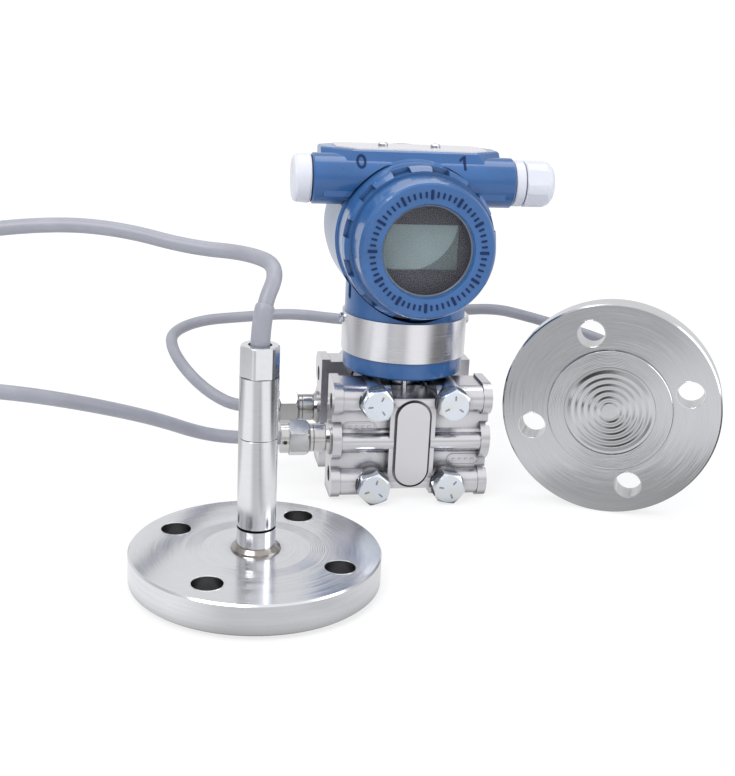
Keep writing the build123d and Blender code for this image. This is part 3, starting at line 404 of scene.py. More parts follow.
def number_setting(name, amount, note, **extra):
    """A plain number that the user may change."""
    return bpy.props.FloatProperty(name=name, description=note, default=amount, **extra)


class TransmitterColours(bpy.types.PropertyGroup):
    """Colours of the finishes"""

    enamel: colour_setting("Enamel", "306099", "Paint of the head and its covers")
    casting: colour_setting("Casting", "d9d8dd", "Cast steel of the process flanges")
    steel: colour_setting("Machined steel", "e7e8ec", "Turned steel of seals and fittings")
    zinc: colour_setting("Zinc", "e2e9f3", "Bolts, nuts and screws")
    plastic: colour_setting("White plastic", "d2d4dc", "Plug and cable gland")
    jacket: colour_setting("Jacket", "989aa3", "Plastic jacket of the capillaries")
    bezel: colour_setting("Bezel", "45404a", "Surround of the display")
    screen: colour_setting("Screen", "8fa1a3", "Display panel")
    marks: colour_setting("Marks", "142c56", "Ticks and numbers on the head")
    backdrop: colour_setting("Floor", "f4f4f6", "Floor of the stage")


class TransmitterSizes(bpy.types.PropertyGroup):
    """Sizes of the small pieces"""

    jacket_width: length_setting("Jacket diameter", 7.0, "Outside diameter of the capillaries")
    sleeve_width: length_setting("Sleeve diameter", 8.6, "Outside diameter of the capillary sleeves")
    tick_height: length_setting("Tick height", 0.45, "How far the ticks on the front cover stand out")
    wave_height: length_setting("Wave height", 0.32, "Depth of the waves in the diaphragms")
    mark_height: length_setting("Mark height", 0.3, "How far cast marks stand out")
    tick_count: bpy.props.IntProperty(
        name="Ticks", description="Ticks round the window", default=60, min=12, max=120)


class TransmitterStage(bpy.types.PropertyGroup):
    """Camera and light"""

    lens: number_setting("Lens", 58.62, "Focal length of the camera in millimetres", min=10.0)
    key: number_setting("Key", 9.0, "Power of the key light", min=0.0, unit="POWER")
    fill: number_setting("Fill", 3.5, "Power of the fill light", min=0.0, unit="POWER")
    sky: number_setting("Sky", 0.62, "Strength of the world", min=0.0)


def colours():
    """The colours that the user has set."""
    return bpy.context.scene.transmitter_colours


def sizes():
    """The sizes that the user has set."""
    return bpy.context.scene.transmitter_sizes


def dress(finish, *names):
    """Gives CAD nodes a material."""
    for name in names:
        mesh = NODES[name].data
        mesh.materials.clear()
        mesh.materials.append(finish.material)


def new_mesh(name, points, faces, finish, smooth=True):
    """A mesh object in the row frame."""
    mesh = bpy.data.meshes.new(name)
    mesh.from_pydata([tuple(p) for p in points], [], faces)
    mesh.validate()
    mesh.update()
    for face in mesh.polygons:
        face.use_smooth = smooth
    mesh.materials.append(finish.material)
    piece = bpy.data.objects.new(name, mesh)
    bpy.context.scene.collection.objects.link(piece)
    return piece


def lathe(name, profile, centre, axis, finish, steps):
    """Turns a profile of (radius, height) about an axis."""
    axis = Vector(axis).normalized()
    first = axis.orthogonal().normalized()
    second = axis.cross(first)
    points = []
    faces = []
    rows = len(profile)
    for k in range(steps):
        angle = 2 * math.pi * k / steps
        way = first * math.cos(angle) + second * math.sin(angle)
        for radius, height in profile:
            points.append(Vector(centre) + way * radius + axis * height)
    for k in range(steps):
        n = (k + 1) % steps
        for i in range(rows - 1):
            faces.append((k * rows + i, n * rows + i, n * rows + i + 1, k * rows + i + 1))
    return new_mesh(name, points, faces, finish)


def loop(points, across, upward, centre=(0.0, 0.0)):
    """Flat outline in millimetres as offsets from a centre."""
    return [across * ((x + centre[0]) / 1000) + upward * ((y + centre[1]) / 1000) for x, y in points]


def obround(length, width, steps=10):
    """Outline of a slot with round ends."""
    half = width / 2
    reach = length / 2 - half
    points = []
    for side, start in ((1, -90), (-1, 90)):
        for k in range(steps + 1):
            angle = math.radians(start + 180 * k / steps)
            points.append((side * reach + half * math.cos(angle), half * math.sin(angle)))
    return points


def oval(width, height, steps=40):
    """Outline of an oval."""
    turns = [2 * math.pi * k / steps for k in range(steps)]
    return [(width / 2 * math.cos(turn), height / 2 * math.sin(turn)) for turn in turns]


def bar(width, height):
    """Outline of a bar with chamfered corners."""
    w = width / 2
    h = height / 2
    c = min(w, h) * 0.35
    right = [(w - c, -h), (w, -h + c), (w, h - c), (w - c, h)]
    return right + [(-x, -y) for x, y in right]


def raised(name, marks, height, finish, surface=None):
    """Raised marks: each has an origin, a normal, an outline and a second one where it is a frame."""
    points = []
    faces = []
    for origin, normal, outer, inner in marks:
        outlines = [outer] if inner is None else [outer, inner]
        middle = sum(outer, Vector()) / len(outer)
        starts = []
        for index, outline in enumerate(outlines):
            starts.append(len(points))
            count = len(outline)
            for level in (-MARK_ROOT, height * 0.7, height):
                for point in outline:
                    inward = (middle - point).normalized() * (MARK_ROUNDING if level == height else 0.0)
                    foot = origin + point + (inward if index == 0 else -inward)
                    points.append((surface(foot) if surface else foot) + normal * level)
            base = starts[-1]
            for low in (0, count):
                for k in range(count):
                    n = (k + 1) % count
                    a = base + low
                    b = a + count
                    face = (a + k, a + n, b + n, b + k)
                    faces.append(face if index == 0 else face[::-1])
        count = len(outer)
        if inner is None:
            faces.append(tuple(starts[0] + 2 * count + k for k in range(count)))
        else:
            for k in range(count):
                n = (k + 1) % count
                a = starts[0] + 2 * count
                b = starts[1] + 2 * count
                faces.append((a + k, a + n, b + n, b + k))
    return new_mesh(name, points, faces, finish, False)


def add_piece(piece, body):
    """Hangs a piece that has no solid of its own on a body."""
    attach(piece, body)
    return piece


def enamel_finish():
    """Glossy blue paint over a casting, with painted shade in its crevices."""
    blue = tuple(colours().enamel)
    paint = Finish("Blue enamel", blue, 0.3, coat_weight=0.6, coat_roughness=0.04)
    paint.set("Specular IOR Level", 0.35)
    cloud = paint.noise(38.0, 4.0)
    deep = tuple(c * 0.84 for c in blue)
    # Painted shade: the blue darkens in crevices and gaps by ambient occlusion.
    outside_painted_shade = paint.edges(0.005).step(0.2, 0.85)
    tone = paint.mix(cloud.step(0.35, 0.7), deep, blue)
    paint.set("Base Color", paint.mix(outside_painted_shade, tuple(c * 0.42 for c in blue), tone))
    paint.set("Roughness", cloud * 0.14 + 0.22)
    paint.bump(paint.noise(420.0, 2.0), 0.0001, 0.2, paint.bump(paint.noise(70.0, 2.0), 0.0005, 0.1))
    return paint


def cast_finish():
    """Bead-blasted cast steel, with painted shade darkening its crevices."""
    grey = tuple(colours().casting)
    cast = Finish("Cast steel", grey, 0.36, 1.0)
    cloud = cast.noise(70.0, 5.0, 0.6)
    fine = cast.noise(900.0, 3.0, 0.6)
    # Painted shade: the steel darkens in its recesses and corners by ambient occlusion.
    dark = tuple(c * 0.3 for c in grey)
    outside_painted_shade = cast.edges(0.007)
    cast.set("Base Color", cast.mix((outside_painted_shade + cloud * 0.06).step(0.35, 0.98), dark, grey))
    cast.set("Roughness", fine * 0.06 + cloud * 0.12 + 0.15)
    cast.bump(fine, 0.00008, 0.12, cast.bump(cloud, 0.0009, 0.14))
    return cast


def turned_finish(
        name, centre, axis, grain=0.5, base=None, serrated=None, streaks=0.04, painted_groove_shades=(), shade=0.0):
    """Steel turned on a lathe about an axis, whose fine grooves spread the light along the radius."""
    grey = tuple(base or colours().steel)
    steel = Finish(name, grey, 0.22, 1.0)
    way = tuple(Vector(axis).normalized())
    radius, angle, along = steel.around(centre, way)
    grooves = steel.noise(1.0, 2.0, 0.7, steel.node(
        "ShaderNodeCombineXYZ", None, X=radius * 5200.0, Y=along * 5200.0, Z=angle * 2.0).outputs[0])
    smear = steel.noise(1.0, 3.0, 0.6, steel.node(
        "ShaderNodeCombineXYZ", None, X=radius * 1100.0, Y=angle * 1.6, Z=along * 800.0).outputs[0])
    cloud = steel.noise(45.0, 3.0)
    dark = tuple(c * (1.0 - streaks * 2) for c in grey)
    tone = steel.mix((smear * 0.7 + cloud * 0.3).step(0.3, 0.7), dark, grey)
    # Painted shade: dark bands where the stems have grooves.
    for height, width, depth in painted_groove_shades:
        groove_shade_mask = 1.0 - abs(along - height).step(width * 0.4, width * 0.6)
        tone = steel.mix(groove_shade_mask * depth, tone, (0.01, 0.01, 0.012))
    # Painted shade in holes and crevices, found by ambient occlusion, as strong as shade asks.
    if shade:
        tone = steel.mix((1.0 - steel.edges(0.014).step(0.3, 0.9)) * shade, tone, (0.03, 0.028, 0.026))
    steel.set("Base Color", tone)
    steel.set("Roughness", smear * 0.08 + cloud * 0.06 + 0.1)
    spot = steel.vector("SUBTRACT", steel.place(), tuple(centre))
    outward = steel.vector("NORMALIZE", steel.vector("SUBTRACT", spot, steel.scaled(way, along)))
    tilt = (grooves - 0.5) * grain
    if serrated:
        inner, outer, pitch = serrated
        ring = (radius * (2 * math.pi / pitch)).math("SINE") * 0.13
        tilt = tilt + ring * (radius > inner) * (radius < outer)
    straight = steel.node("ShaderNodeNewGeometry").outputs["Normal"]
    facing = abs(steel.vector("DOT_PRODUCT", straight, way))
    spread = steel.scaled(outward, tilt * facing)
    lift = steel.scaled(way, (grooves - 0.5) * grain * 0.5 * (1.0 - facing))
    sideways = steel.vector("ADD", spread, lift)
    steel.set("Normal", steel.vector("NORMALIZE", steel.vector("ADD", straight, sideways)))
    return steel


def zinc_finish(name="Zinc plate", tone=1.0):
    """Bright zinc with a faint blue and yellow cast, painted shade in its crevices, and a darker copy
    as painted shade where tone is below one.
    """
    tint = tuple(c * tone for c in colours().zinc)
    zinc = Finish(name, tint, 0.26, 1.0)
    cloud = zinc.noise(160.0, 4.0)
    warm = (tint[0] * 1.02, tint[1] * 0.97, tint[2] * 0.86)
    plated = zinc.mix(cloud.step(0.45, 0.75), tint, warm)
    # Painted shade: the zinc darkens in crevices by ambient occlusion.
    dark = tuple(c * 0.14 for c in tint)
    zinc.set("Base Color", zinc.mix(zinc.edges(0.008).step(0.25, 0.9), dark, plated))
    zinc.set("Roughness", cloud * 0.22 + 0.16)
    zinc.bump(zinc.noise(700.0, 3.0), 0.00008, 0.35)
    return zinc


def plastic_finish():
    """White nylon."""
    white = Finish(
        "White nylon", tuple(colours().plastic), 0.34, subsurface_weight=0.08, subsurface_scale=0.002)
    cloud = white.noise(240.0, 3.0)
    white.set("Roughness", cloud * 0.12 + 0.28)
    white.bump(cloud, 0.0001, 0.25)
    return white


def jacket_finish():
    """Plastic jacket of the capillaries."""
    jacket = Finish("Capillary jacket", tuple(colours().jacket), 0.42)
    cloud = jacket.noise(90.0, 3.0)
    grey = tuple(colours().jacket)
    jacket.set("Base Color", jacket.mix(cloud.step(0.3, 0.8), tuple(c * 0.9 for c in grey), grey))
    jacket.set("Roughness", cloud * 0.14 + 0.34)
    jacket.bump(jacket.noise(500.0, 2.0), 0.00008, 0.3)
    return jacket


def rubber_finish():
    """Black rubber of the seals."""
    rubber = Finish("Black rubber", (0.012, 0.012, 0.013), 0.62)
    rubber.bump(rubber.noise(800.0, 2.0), 0.00008, 0.4)
    return rubber


def clock_ways(turn):
    """Sideways and outward ways on a face that looks to the front, at a turn from its top."""
    return Vector((math.cos(turn), 0, -math.sin(turn))), Vector((math.sin(turn), 0, math.cos(turn)))


class TRANSMITTER_OT_head(bpy.types.Operator):
    """Paints the head and its covers"""

    bl_idname = "transmitter.head"
    bl_label = "Head and covers"

    def execute(self, context):
        dress(enamel_finish(), "housing", "front_cover", "rear_cover")
        ink = Finish("Mark enamel", tuple(colours().marks), 0.6, specular_ior_level=0.2)
        ink.bump(ink.noise(500.0), 0.00005, 0.2)
        front = Vector((0, -1, 0))
        centre = here(0, COVER_FACE, BARREL_Z)
        marks = []
        count = sizes().tick_count
        for k in range(count):
            sideways, outward = clock_ways(2 * math.pi * k / count)
            shape = bar(1.0, 3.0) if k % 5 else bar(1.5, 4.8)
            marks.append((centre, front, loop(shape, sideways, outward, (0, TICK_RING)), None))
        ticks = raised("cover_ticks", marks, sizes().tick_height, ink)
        add_piece(ticks, "front_cover")
        lean = math.atan2(BLOCK_LEAN, BLOCK_FALL)
        normal = Vector((0, -math.cos(lean), math.sin(lean)))
        across = Vector((1, 0, 0))
        upward = Vector((0, 0, 1))

        def on_block(point):
            """Point on the leaning face or the boss, whichever lies further out."""
            z = point.z * 1000
            leaning = BLOCK_FRONT + BLOCK_LEAN * (BLOCK_TOP - z) / BLOCK_FALL
            boss = math.sqrt(max(0.0, BOSS_RADIUS ** 2 - (z - ENTRY_Z) ** 2))
            return Vector((point.x, AXIS_Y - max(leaning, boss) / 1000, point.z))

        outer, inner = (loop(oval(*size), across, upward) for size in NOUGHT_SIZES)
        marks = [(here(*NOUGHT_PLACE), normal, outer, inner)]
        for x, z, width, height in ONE_POST + ONE_FLAG:
            marks.append((here(x, 0, z), normal, loop(bar(width, height), across, upward), None))
        numbers = raised("block_numbers", marks, sizes().mark_height, ink, on_block)
        add_piece(numbers, "head")
        return {"FINISHED"}


class TRANSMITTER_OT_steel(bpy.types.Operator):
    """Finishes the sensor cell, process flanges, bolts and fittings"""

    bl_idname = "transmitter.steel"
    bl_label = "Sensor side"

    def execute(self, context):
        cast = cast_finish()
        dress(cast, "front_flange", "rear_flange")
        cell = turned_finish("Cell steel", here(0, 0, PORT_Z), (0, 1, 0))
        dress(cell, "sensor_cell", "rotation_stop_pin", "collar_set_screw")
        gasket = Finish("Gasket", (0.62, 0.61, 0.57), 0.6)
        gasket.bump(gasket.noise(600.0), 0.0001, 0.3)
        dress(gasket, "cell_gaskets")
        zinc = zinc_finish()
        dress(zinc, "flange_bolts", "flange_nuts")
        # Painted shade: the washers and the dashes on the bolt heads take a darker copy of the zinc.
        shaded_zinc = zinc_finish("Zinc washers", 0.4)
        dress(shaded_zinc, "bolt_washers")
        front = Vector((0, -1, 0))
        across = Vector((1, 0, 0))
        upward = Vector((0, 0, 1))
        marks = []
        for x, z, length, width in FLANGE_FIELDS:
            outer = loop(obround(length, width), across, upward)
            inner = loop(obround(length - 1.3, width - 1.3), across, upward)
            marks.append((here(x, FLANGE_FACE, z), front, outer, inner))
            dash = loop(bar(1.6, 1.1), across, upward)
            for offset in (-5.0, -1.6, 1.8, 5.2):
                marks.append((here(x + offset, FLANGE_FACE, z), front, dash, None))
        stroke = loop(bar(13.0, 0.6), across, upward)
        for x, z in FLANGE_STROKES:
            marks.append((here(x, FLANGE_FACE, z), front, stroke, None))
        add_piece(raised("flange_marks", marks, sizes().mark_height, cast), "base")
        marks = []
        for x, z, turn in BOLT_HEADS:
            for step in (0, 120, 240):
                dash = loop(bar(0.8, 2.6), *clock_ways(math.radians(turn + step)), (0, 4.4))
                marks.append((here(x, BOLT_FACE, z), front, dash, None))
        dashes = raised("bolt_marks", marks, sizes().mark_height * 0.7, shaded_zinc)
        add_piece(dashes, "base")
        # Painted shade: each fitting's steel is darkened by a level, the rear one more than the front
        # one.
        for side, y, painted_shade_level in (("front", -PORT_Y, 0.82), ("rear", PORT_Y, 0.6)):
            warm = tuple(c * t * painted_shade_level for c, t in zip(colours().steel, (1.0, 0.985, 0.95)))
            nickel = turned_finish(
                side.title() + " fitting steel", here(0, y, PORT_Z), (1, 0, 0),
                grain=0.1, base=warm, shade=0.6)
            dress(nickel, side + "_port_adapter", side + "_port_nut", side + "_port_collar")
        return {"FINISHED"}


class TRANSMITTER_OT_plates(bpy.types.Operator):
    """Finishes the top plate, the neck band and their screws"""

    bl_idname = "transmitter.plates"
    bl_label = "Plate and band"

    def execute(self, context):
        sheet = Finish("Brushed sheet", (0.86, 0.85, 0.9), 0.3, 0.9)
        brushed = sheet.noise(1.0, 4.0, 0.6, None, (30.0, 900.0, 900.0))
        sheet.set("Roughness", brushed * 0.2 + 0.18)
        sheet.bump(brushed, 0.00003, 0.1)
        dress(sheet, "top_nameplate")
        band = Finish("Band steel", (0.8, 0.8, 0.84), 0.26, 1.0)
        lines = band.noise(1.0, 4.0, 0.6, None, (25.0, 25.0, 2600.0))
        band.set("Roughness", lines * 0.2 + 0.14)
        band.bump(lines, 0.00004, 0.3)
        dress(band, "neck_band")
        dress(zinc_finish("Screw zinc"), "nameplate_screws", "band_screws")
        # Painted shadow: dark strips on the screw heads stand for the shade in their slots.
        shadow = Finish("Slot shadow", (0.02, 0.02, 0.022), 0.7)
        slot = bar(4.0, 0.6)
        top = Vector((0, 0, 1))
        marks = []
        for x, y, turn in PLATE_SCREWS:
            across = Vector((math.cos(math.radians(turn)), math.sin(math.radians(turn)), 0))
            outline = loop(slot, across, top.cross(across))
            marks.append((here(x, y, PLATE_SCREW_TOP), top, outline, None))
        across = Vector((0, 0.8, 0.6))
        for way in (-1, 1):
            side = Vector((way, 0, 0))
            outline = loop(slot, across, side.cross(across))
            marks.append((here(way * BAND_SCREW_HEAD, 0, BAND_Z), side, outline, None))
        add_piece(raised("screw_slots", marks, SLOT_HEIGHT, shadow), "head")
        return {"FINISHED"}


class TRANSMITTER_OT_display(bpy.types.Operator):
    """Finishes the window, the display and the boards"""

    bl_idname = "transmitter.display"
    bl_label = "Window and display"

    def execute(self, context):
        glass = Finish("Window glass", (0.22, 0.26, 0.3), 0.03, alpha=0.05, ior=1.9)
        dress(glass, "cover_window")
        rim = Finish("Window rim", (0.12, 0.15, 0.2), 0.25)
        rim.bump(rim.noise(400.0), 0.00005, 0.2)
        ring = lathe("window_rim", WINDOW_RIM, here(0, WINDOW_FRONT, BARREL_Z), (0, -1, 0), rim, 96)
        add_piece(ring, "front_cover")
        bezel = Finish("Bezel", tuple(colours().bezel), 0.5)
        bezel.bump(bezel.noise(300.0), 0.00003, 0.04)
        dress(bezel, "display_bezel", "terminal_block")
        pale = tuple(colours().screen)
        screen = Finish("Display panel", pale, 0.22)
        radius = screen.around(here(*SHADOW_CENTRE), (0, 1, 0))[0]
        cloud = screen.noise(60.0, 2.0)
        lit = screen.mix(cloud.step(0.3, 0.8), pale, tuple(c * 0.88 for c in pale))
        shaded = tuple(c * 0.42 for c in pale)
        screen.set("Base Color", screen.mix(radius.step(0.0268, 0.0276), lit, shaded))
        dress(screen, "display_module")
        board = Finish("Circuit board", (0.02, 0.12, 0.05), 0.35)
        dress(board, "electronics_board")
        metal = Finish("Spacer metal", (0.6, 0.58, 0.52), 0.35, 1.0)
        dress(metal, "display_standoffs", "board_standoffs", "window_retainer", "terminal_screws")
        dress(rubber_finish(), "window_gasket", "front_cover_seal", "rear_cover_seal")
        return {"FINISHED"}


class TRANSMITTER_OT_entries(bpy.types.Operator):
    """Finishes the plug and the cable gland"""

    bl_idname = "transmitter.entries"
    bl_label = "Plug and gland"

    def execute(self, context):
        dress(plastic_finish(), "plug_cap", "gland_body", "gland_nut")
        dress(rubber_finish(), "plug_seal", "gland_body_seal", "gland_seal")
        return {"FINISHED"}


def skin_profile():
    """Radius and height of the waved skin of a diaphragm, from its middle to its rim."""
    profile = []
    for step in range(SKIN_STEPS + 1):
        radius = SKIN_RADIUS * step / SKIN_STEPS
        height = SKIN_LEVEL
        if WAVES_START < radius < WAVES_END:
            turn = (radius - WAVES_START) / WAVE_PITCH * 2 * math.pi
            height += sizes().wave_height / 2 * math.sin(turn)
        if radius > WAVES_END:
            height += RIM_RISE * min(1.0, (radius - WAVES_END) / RIM_WIDTH)
        profile.append((radius + 1e-6, height))
    return profile


class TRANSMITTER_OT_seals(bpy.types.Operator):
    """Finishes both remote seals"""

    bl_idname = "transmitter.seals"
    bl_label = "Remote seals"

    def execute(self, context):
        top = Vector((0, 0, 1))
        # Painted shade: tone gives the right seal's plate and diaphragm a darker copy of the steel, and
        # shade darkens each plate's holes and crevices.
        for side, face, way, tone, grain, shade in (
                ("left", LEFT_FACE, top, 1.0, 0.25, 0.8),
                ("right", RIGHT_FACE, STEM_WAY, 0.78, 0.5, 0.15)):
            title = side.title()
            grey = tuple(c * tone for c in colours().steel)
            plate = turned_finish(
                title + " seal steel", face, way, grain=grain, base=grey,
                serrated=(0.0245, 0.032, 0.0008), shade=shade)
            stem = turned_finish(
                title + " stem steel", face, way, grain=0.08, streaks=0.02, painted_groove_shades=STEM_GROOVE_SHADES)
            dress(plate, side + "_seal_flange")
            dress(stem, *(side + "_" + part for part in ("stem_base", "stem_tube", "stem_head")))
            weld = turned_finish(title + " weld", face, way, base=(0.4, 0.37, 0.35))
            dress(weld, side + "_weld_collar")
            skin = turned_finish(
                title + " diaphragm steel", face, way, grain=0.2, base=grey, streaks=0.02)
            disc = lathe(side + "_diaphragm_skin", skin_profile(), face, way, skin, 128)
            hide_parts(side + "_diaphragm")
            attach(disc, "base")
            lip = Finish(title + " hole edge steel", tuple(colours().steel), 0.12, 1.0)
            lip.set("Roughness", lip.noise(300.0) * 0.15 + 0.06)
            if side == "left":
                middle, normal = face + top * LEFT_BACK, top
                across, upward, turn = Vector((1, 0, 0)), Vector((0, 1, 0)), LEFT_HOLE_TURN
            else:
                middle, normal = face + way * RAISED_FACE, -way
                across, upward, turn = Vector((way.y, -way.x, 0)), top, RIGHT_HOLE_TURN
            outer, inner = (loop(oval(width, width), across, upward) for width in HOLE_WIDTHS)
            marks = []
            for k in range(4):
                angle = math.radians(turn + 90 * k)
                spot = middle + (across * math.cos(angle) + upward * math.sin(angle)) * HOLE_CIRCLE
                marks.append((spot, normal, outer, inner))
            edges = raised(side + "_hole_edges", marks, EDGE_HEIGHT, lip)
            add_piece(edges, "base")
        return {"FINISHED"}


def bend(name, route, finish, width):
    """A cord that follows its route."""
    curve = bpy.data.curves.new(name, "CURVE")
    curve.dimensions = "3D"
    curve.bevel_depth = width / 2
    curve.bevel_resolution = 8
    curve.resolution_u = 16
    spline = curve.splines.new("NURBS")
    spline.points.add(len(route) - 1)
    for point, place in zip(spline.points, route):
        point.co = tuple(here(*place)) + (1.0,)
    spline.order_u = 3
    spline.use_endpoint_u = True
    curve.use_fill_caps = True
    curve.materials.append(finish.material)
    piece = bpy.data.objects.new(name, curve)
    bpy.context.scene.collection.objects.link(piece)
    return piece


def along_route(route, step=0.001):
    """Points on the curve of a route, in metres, and its length."""
    corners = [here(*place) for place in route]
    count = len(corners)
    middles = [(corners[i] + corners[i + 1]) / 2 for i in range(1, count - 2)]
    joints = [corners[0]] + middles + [corners[-1]]
    line = []
    for start, middle, end in zip(joints, corners[1:], joints[1:]):
        parts = max(4, int((end - start).length / step))
        for k in range(parts):
            t = k / parts
            line.append(start * (1 - t) ** 2 + middle * 2 * t * (1 - t) + end * t * t)
    line.append(corners[-1])
    return line, sum((b - a).length for a, b in zip(line, line[1:]))


def tube(name, line, profile, finish, steps=40):
    """A turned profile of (distance, radius) bent along a line of points."""
    points = []
    faces = []
    walked = [0.0]
    for a, b in zip(line, line[1:]):
        walked.append(walked[-1] + (b - a).length)
    side = (line[1] - line[0]).orthogonal().normalized()
    for row, (distance, radius) in enumerate(profile):
        index = max(0, min(len(line) - 2, sum(1 for w in walked if w <= distance) - 1))
        part = (distance - walked[index]) / max(1e-9, walked[index + 1] - walked[index])
        centre = line[index].lerp(line[index + 1], part)
        way = (line[index + 1] - line[index]).normalized()
        side = (side - way * side.dot(way)).normalized()
        other = way.cross(side)
        for k in range(steps):
            angle = 2 * math.pi * k / steps
            points.append(centre + (side * math.cos(angle) + other * math.sin(angle)) * radius)
        if row:
            high = row * steps
            low = high - steps
            for k in range(steps):
                n = (k + 1) % steps
                faces.append((low + k, low + n, high + n, high + k))
    return new_mesh(name, points, faces, finish)


class TRANSMITTER_OT_capillaries(bpy.types.Operator):
    """Lays both capillaries and their sleeves"""

    bl_idname = "transmitter.capillaries"
    bl_label = "Capillaries"

    def execute(self, context):
        jacket = jacket_finish()
        width = sizes().jacket_width
        for name, node, route in (
                ("left_capillary", "capillary_one", ROUTE_ONE),
                ("right_capillary", "capillary_two", ROUTE_TWO)):
            piece = bend(name, route, jacket, width)
            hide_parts(node)
            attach(piece, "base")
            line, length = along_route(route)
        half = sizes().sleeve_width / 2
        inside = width / 2
        end = SLEEVE_LENGTH
        part = (end - 0.006) / SLEEVE_STEPS
        rows = [(0.0, inside), (0.0, half)]
        rows += [(SLEEVE_START + part * k, half) for k in range(SLEEVE_STEPS + 1)]
        rows += [(end - 0.001, half - 0.0001), (end - 0.0003, half - 0.0004), (end, inside - 0.0001)]
        for side, route in (("left", ROUTE_ONE), ("right", ROUTE_TWO[::-1])):
            line = along_route(route, 0.0005)[0]
            sleeve = tube(side + "_sleeve", line, rows, jacket)
            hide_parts(side + "_capillary_sleeve")
            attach(sleeve, "base")
        return {"FINISHED"}


def aim_camera(scene):
    """Puts the camera where the photograph was taken from."""
    turn, rise, roll = (math.radians(angle) for angle in (CAMERA_TURN, CAMERA_RISE, CAMERA_ROLL))
    level = math.cos(rise)
    back = Vector((math.sin(turn) * level, -math.cos(turn) * level, math.sin(rise)))
    right = Vector((math.cos(turn), math.sin(turn), 0.0))
    above = back.cross(right)
    tilted = right * math.cos(roll) + above * math.sin(roll)
    upward = above * math.cos(roll) - right * math.sin(roll)
    data = bpy.data.cameras.new("Camera")
    data.sensor_fit = "HORIZONTAL"
    data.sensor_width = 36.0
    data.lens = scene.transmitter_stage.lens
    data.clip_start = 0.01
    camera = bpy.data.objects.new("Camera", data)
    scene.collection.objects.link(camera)
    turned = Matrix((tilted, upward, back)).transposed().to_4x4()
    camera.matrix_world = Matrix.Translation(here(*CAMERA_PLACE)) @ turned
    scene.camera = camera


def light_world(scene):
    """Plain sky light, white to the camera and through glass, and soft boxes to gloss."""
    world = bpy.data.worlds.new("Studio")
    scene.world = world
    world.use_nodes = True
    sky = Graph(world.node_tree)
    lit = world.node_tree.nodes["Background"]
    lit.inputs["Color"].default_value = (0.94, 0.96, 1.0, 1.0)
    lit.inputs["Strength"].default_value = scene.transmitter_stage.sky
    white, black = (
        sky.node("ShaderNodeBackground", None, Color=(tone, tone, tone, 1.0), Strength=1.0).outputs[0]
        for tone in (1.0, 0.0))
    way = sky.vector("NORMALIZE", sky.node("ShaderNodeTexCoord").outputs["Generated"])
    boxes = sky.blend(sky.studio(way), black, white)
    seen, glossy = sky.rays()
    shone = sky.blend(glossy, lit.outputs[0], boxes)
    sky.feed(world.node_tree.nodes["World Output"].inputs["Surface"], sky.blend(seen, shone, white))


def lay_floor():
    """A pale floor that keeps the object's shadow, fades to white, and shows the studio to gloss."""
    ground = Finish("Stage floor", tuple(colours().backdrop), 0.6)
    ground.set("Specular IOR Level", 0.2)
    ground.material.cycles.emission_sampling = "NONE"
    spot = ground.place()
    reach = ground.vector("LENGTH", ground.vector("SUBTRACT", spot, FLOOR_MIDDLE))
    level = ground.studio(ground.vector("NORMALIZE", ground.vector("SUBTRACT", spot, STUDIO_MIDDLE)))
    level = level + (0.85 - level) * reach.step(0.24, 0.10) * 0.6
    seen, glossy = ground.rays()
    tone = ground.scaled((1.0, 1.0, 1.0), glossy * (level - FLOOR_WHITE) + FLOOR_WHITE)
    bright = ground.node("ShaderNodeBsdfPrincipled", None, **{
        "Base Color": (0.0, 0.0, 0.0, 1.0), "Roughness": 1.0, "Specular IOR Level": 0.0,
        "Emission Color": tone, "Emission Strength": 1.0})
    share = (seen * (reach.step(0.3, 0.75) * 0.28 + 0.72)).math("MAXIMUM", glossy)
    cover = ground.blend(share, ground.shader.outputs[0], bright.outputs[0])
    ground.feed(ground.tree.nodes["Material Output"].inputs["Surface"], cover)
    half = FLOOR_HALF
    corners = [(-half, -half, 0), (half, -half, 0), (half, half, 0), (-half, half, 0)]
    floor = new_mesh("Floor", corners, [(0, 1, 2, 3)], ground, False)
    floor.location.z = -FLOOR_DROP


def hang_lamp(scene, name, place, aim, size, power, tint=(1.0, 1.0, 1.0)):
    """A soft rectangular lamp that points at a place."""
    light = bpy.data.lights.new(name, "AREA")
    light.shape = "RECTANGLE"
    light.size, light.size_y = size
    light.energy = power
    light.color = tint
    lamp = bpy.data.objects.new(name, light)
    scene.collection.objects.link(lamp)
    lamp.location = place
    lamp.rotation_euler = (Vector(aim) - Vector(place)).to_track_quat("-Z", "Y").to_euler()


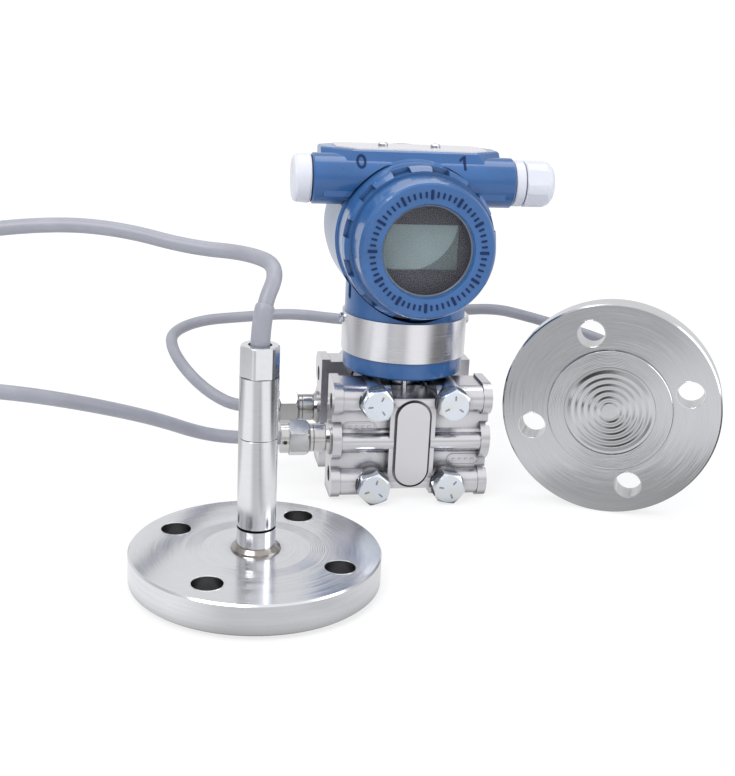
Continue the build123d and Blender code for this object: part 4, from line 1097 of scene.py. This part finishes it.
class TRANSMITTER_OT_stage(bpy.types.Operator):
    """Sets the floor, the lights and the camera"""

    bl_idname = "transmitter.stage"
    bl_label = "Stage"

    def execute(self, context):
        scene = bpy.context.scene
        scene.view_settings.view_transform = "Standard"
        aim_camera(scene)
        light_world(scene)
        lay_floor()
        key, fill = scene.transmitter_stage.key, scene.transmitter_stage.fill
        cool = (0.96, 0.98, 1.0)
        hang_lamp(scene, "Key", (-0.55, -0.55, 0.95), (0.05, 0.1, 0.08), (0.7, 0.7), key)
        hang_lamp(scene, "Fill", (0.95, -0.35, 0.5), (0.1, 0.1, 0.08), (0.6, 0.9), fill, cool)
        hang_lamp(scene, "Top", (0.1, 0.35, 1.1), (0.1, 0.1, 0.1), (1.0, 0.6), fill * 1.2)
        return {"FINISHED"}


OPERATORS = (
    TRANSMITTER_OT_head, TRANSMITTER_OT_steel, TRANSMITTER_OT_plates, TRANSMITTER_OT_display,
    TRANSMITTER_OT_entries, TRANSMITTER_OT_seals, TRANSMITTER_OT_capillaries, TRANSMITTER_OT_stage,
)
GROUPS = (TransmitterColours, TransmitterSizes, TransmitterStage)


class TRANSMITTER_PT_panel(bpy.types.Panel):
    """Lists the settings and steps of the transmitter"""

    bl_idname = "TRANSMITTER_PT_panel"
    bl_label = "Transmitter"
    bl_space_type = "VIEW_3D"
    bl_region_type = "UI"
    bl_category = "Transmitter"

    def draw(self, context):
        scene = context.scene
        for group in (scene.transmitter_colours, scene.transmitter_sizes, scene.transmitter_stage):
            for name in group.__annotations__:
                self.layout.prop(group, name)
        for operator in OPERATORS:
            self.layout.operator(operator.bl_idname)


def register():
    """Adds the settings, the operators and the panel."""
    for item in GROUPS + OPERATORS + (TRANSMITTER_PT_panel,):
        bpy.utils.register_class(item)
    bpy.types.Scene.transmitter_colours = bpy.props.PointerProperty(type=TransmitterColours)
    bpy.types.Scene.transmitter_sizes = bpy.props.PointerProperty(type=TransmitterSizes)
    bpy.types.Scene.transmitter_stage = bpy.props.PointerProperty(type=TransmitterStage)


def unregister():
    """Takes them out again."""
    del bpy.types.Scene.transmitter_stage
    del bpy.types.Scene.transmitter_sizes
    del bpy.types.Scene.transmitter_colours
    for item in reversed(GROUPS + OPERATORS + (TRANSMITTER_PT_panel,)):
        bpy.utils.unregister_class(item)


def main():
    """Builds the pieces and the stage."""
    register()
    bpy.ops.transmitter.head()
    bpy.ops.transmitter.steel()
    bpy.ops.transmitter.plates()
    bpy.ops.transmitter.display()
    bpy.ops.transmitter.entries()
    bpy.ops.transmitter.seals()
    bpy.ops.transmitter.capillaries()
    bpy.ops.transmitter.stage()
    bpy.context.view_layer.update()


if __name__ == "__main__":
    main()
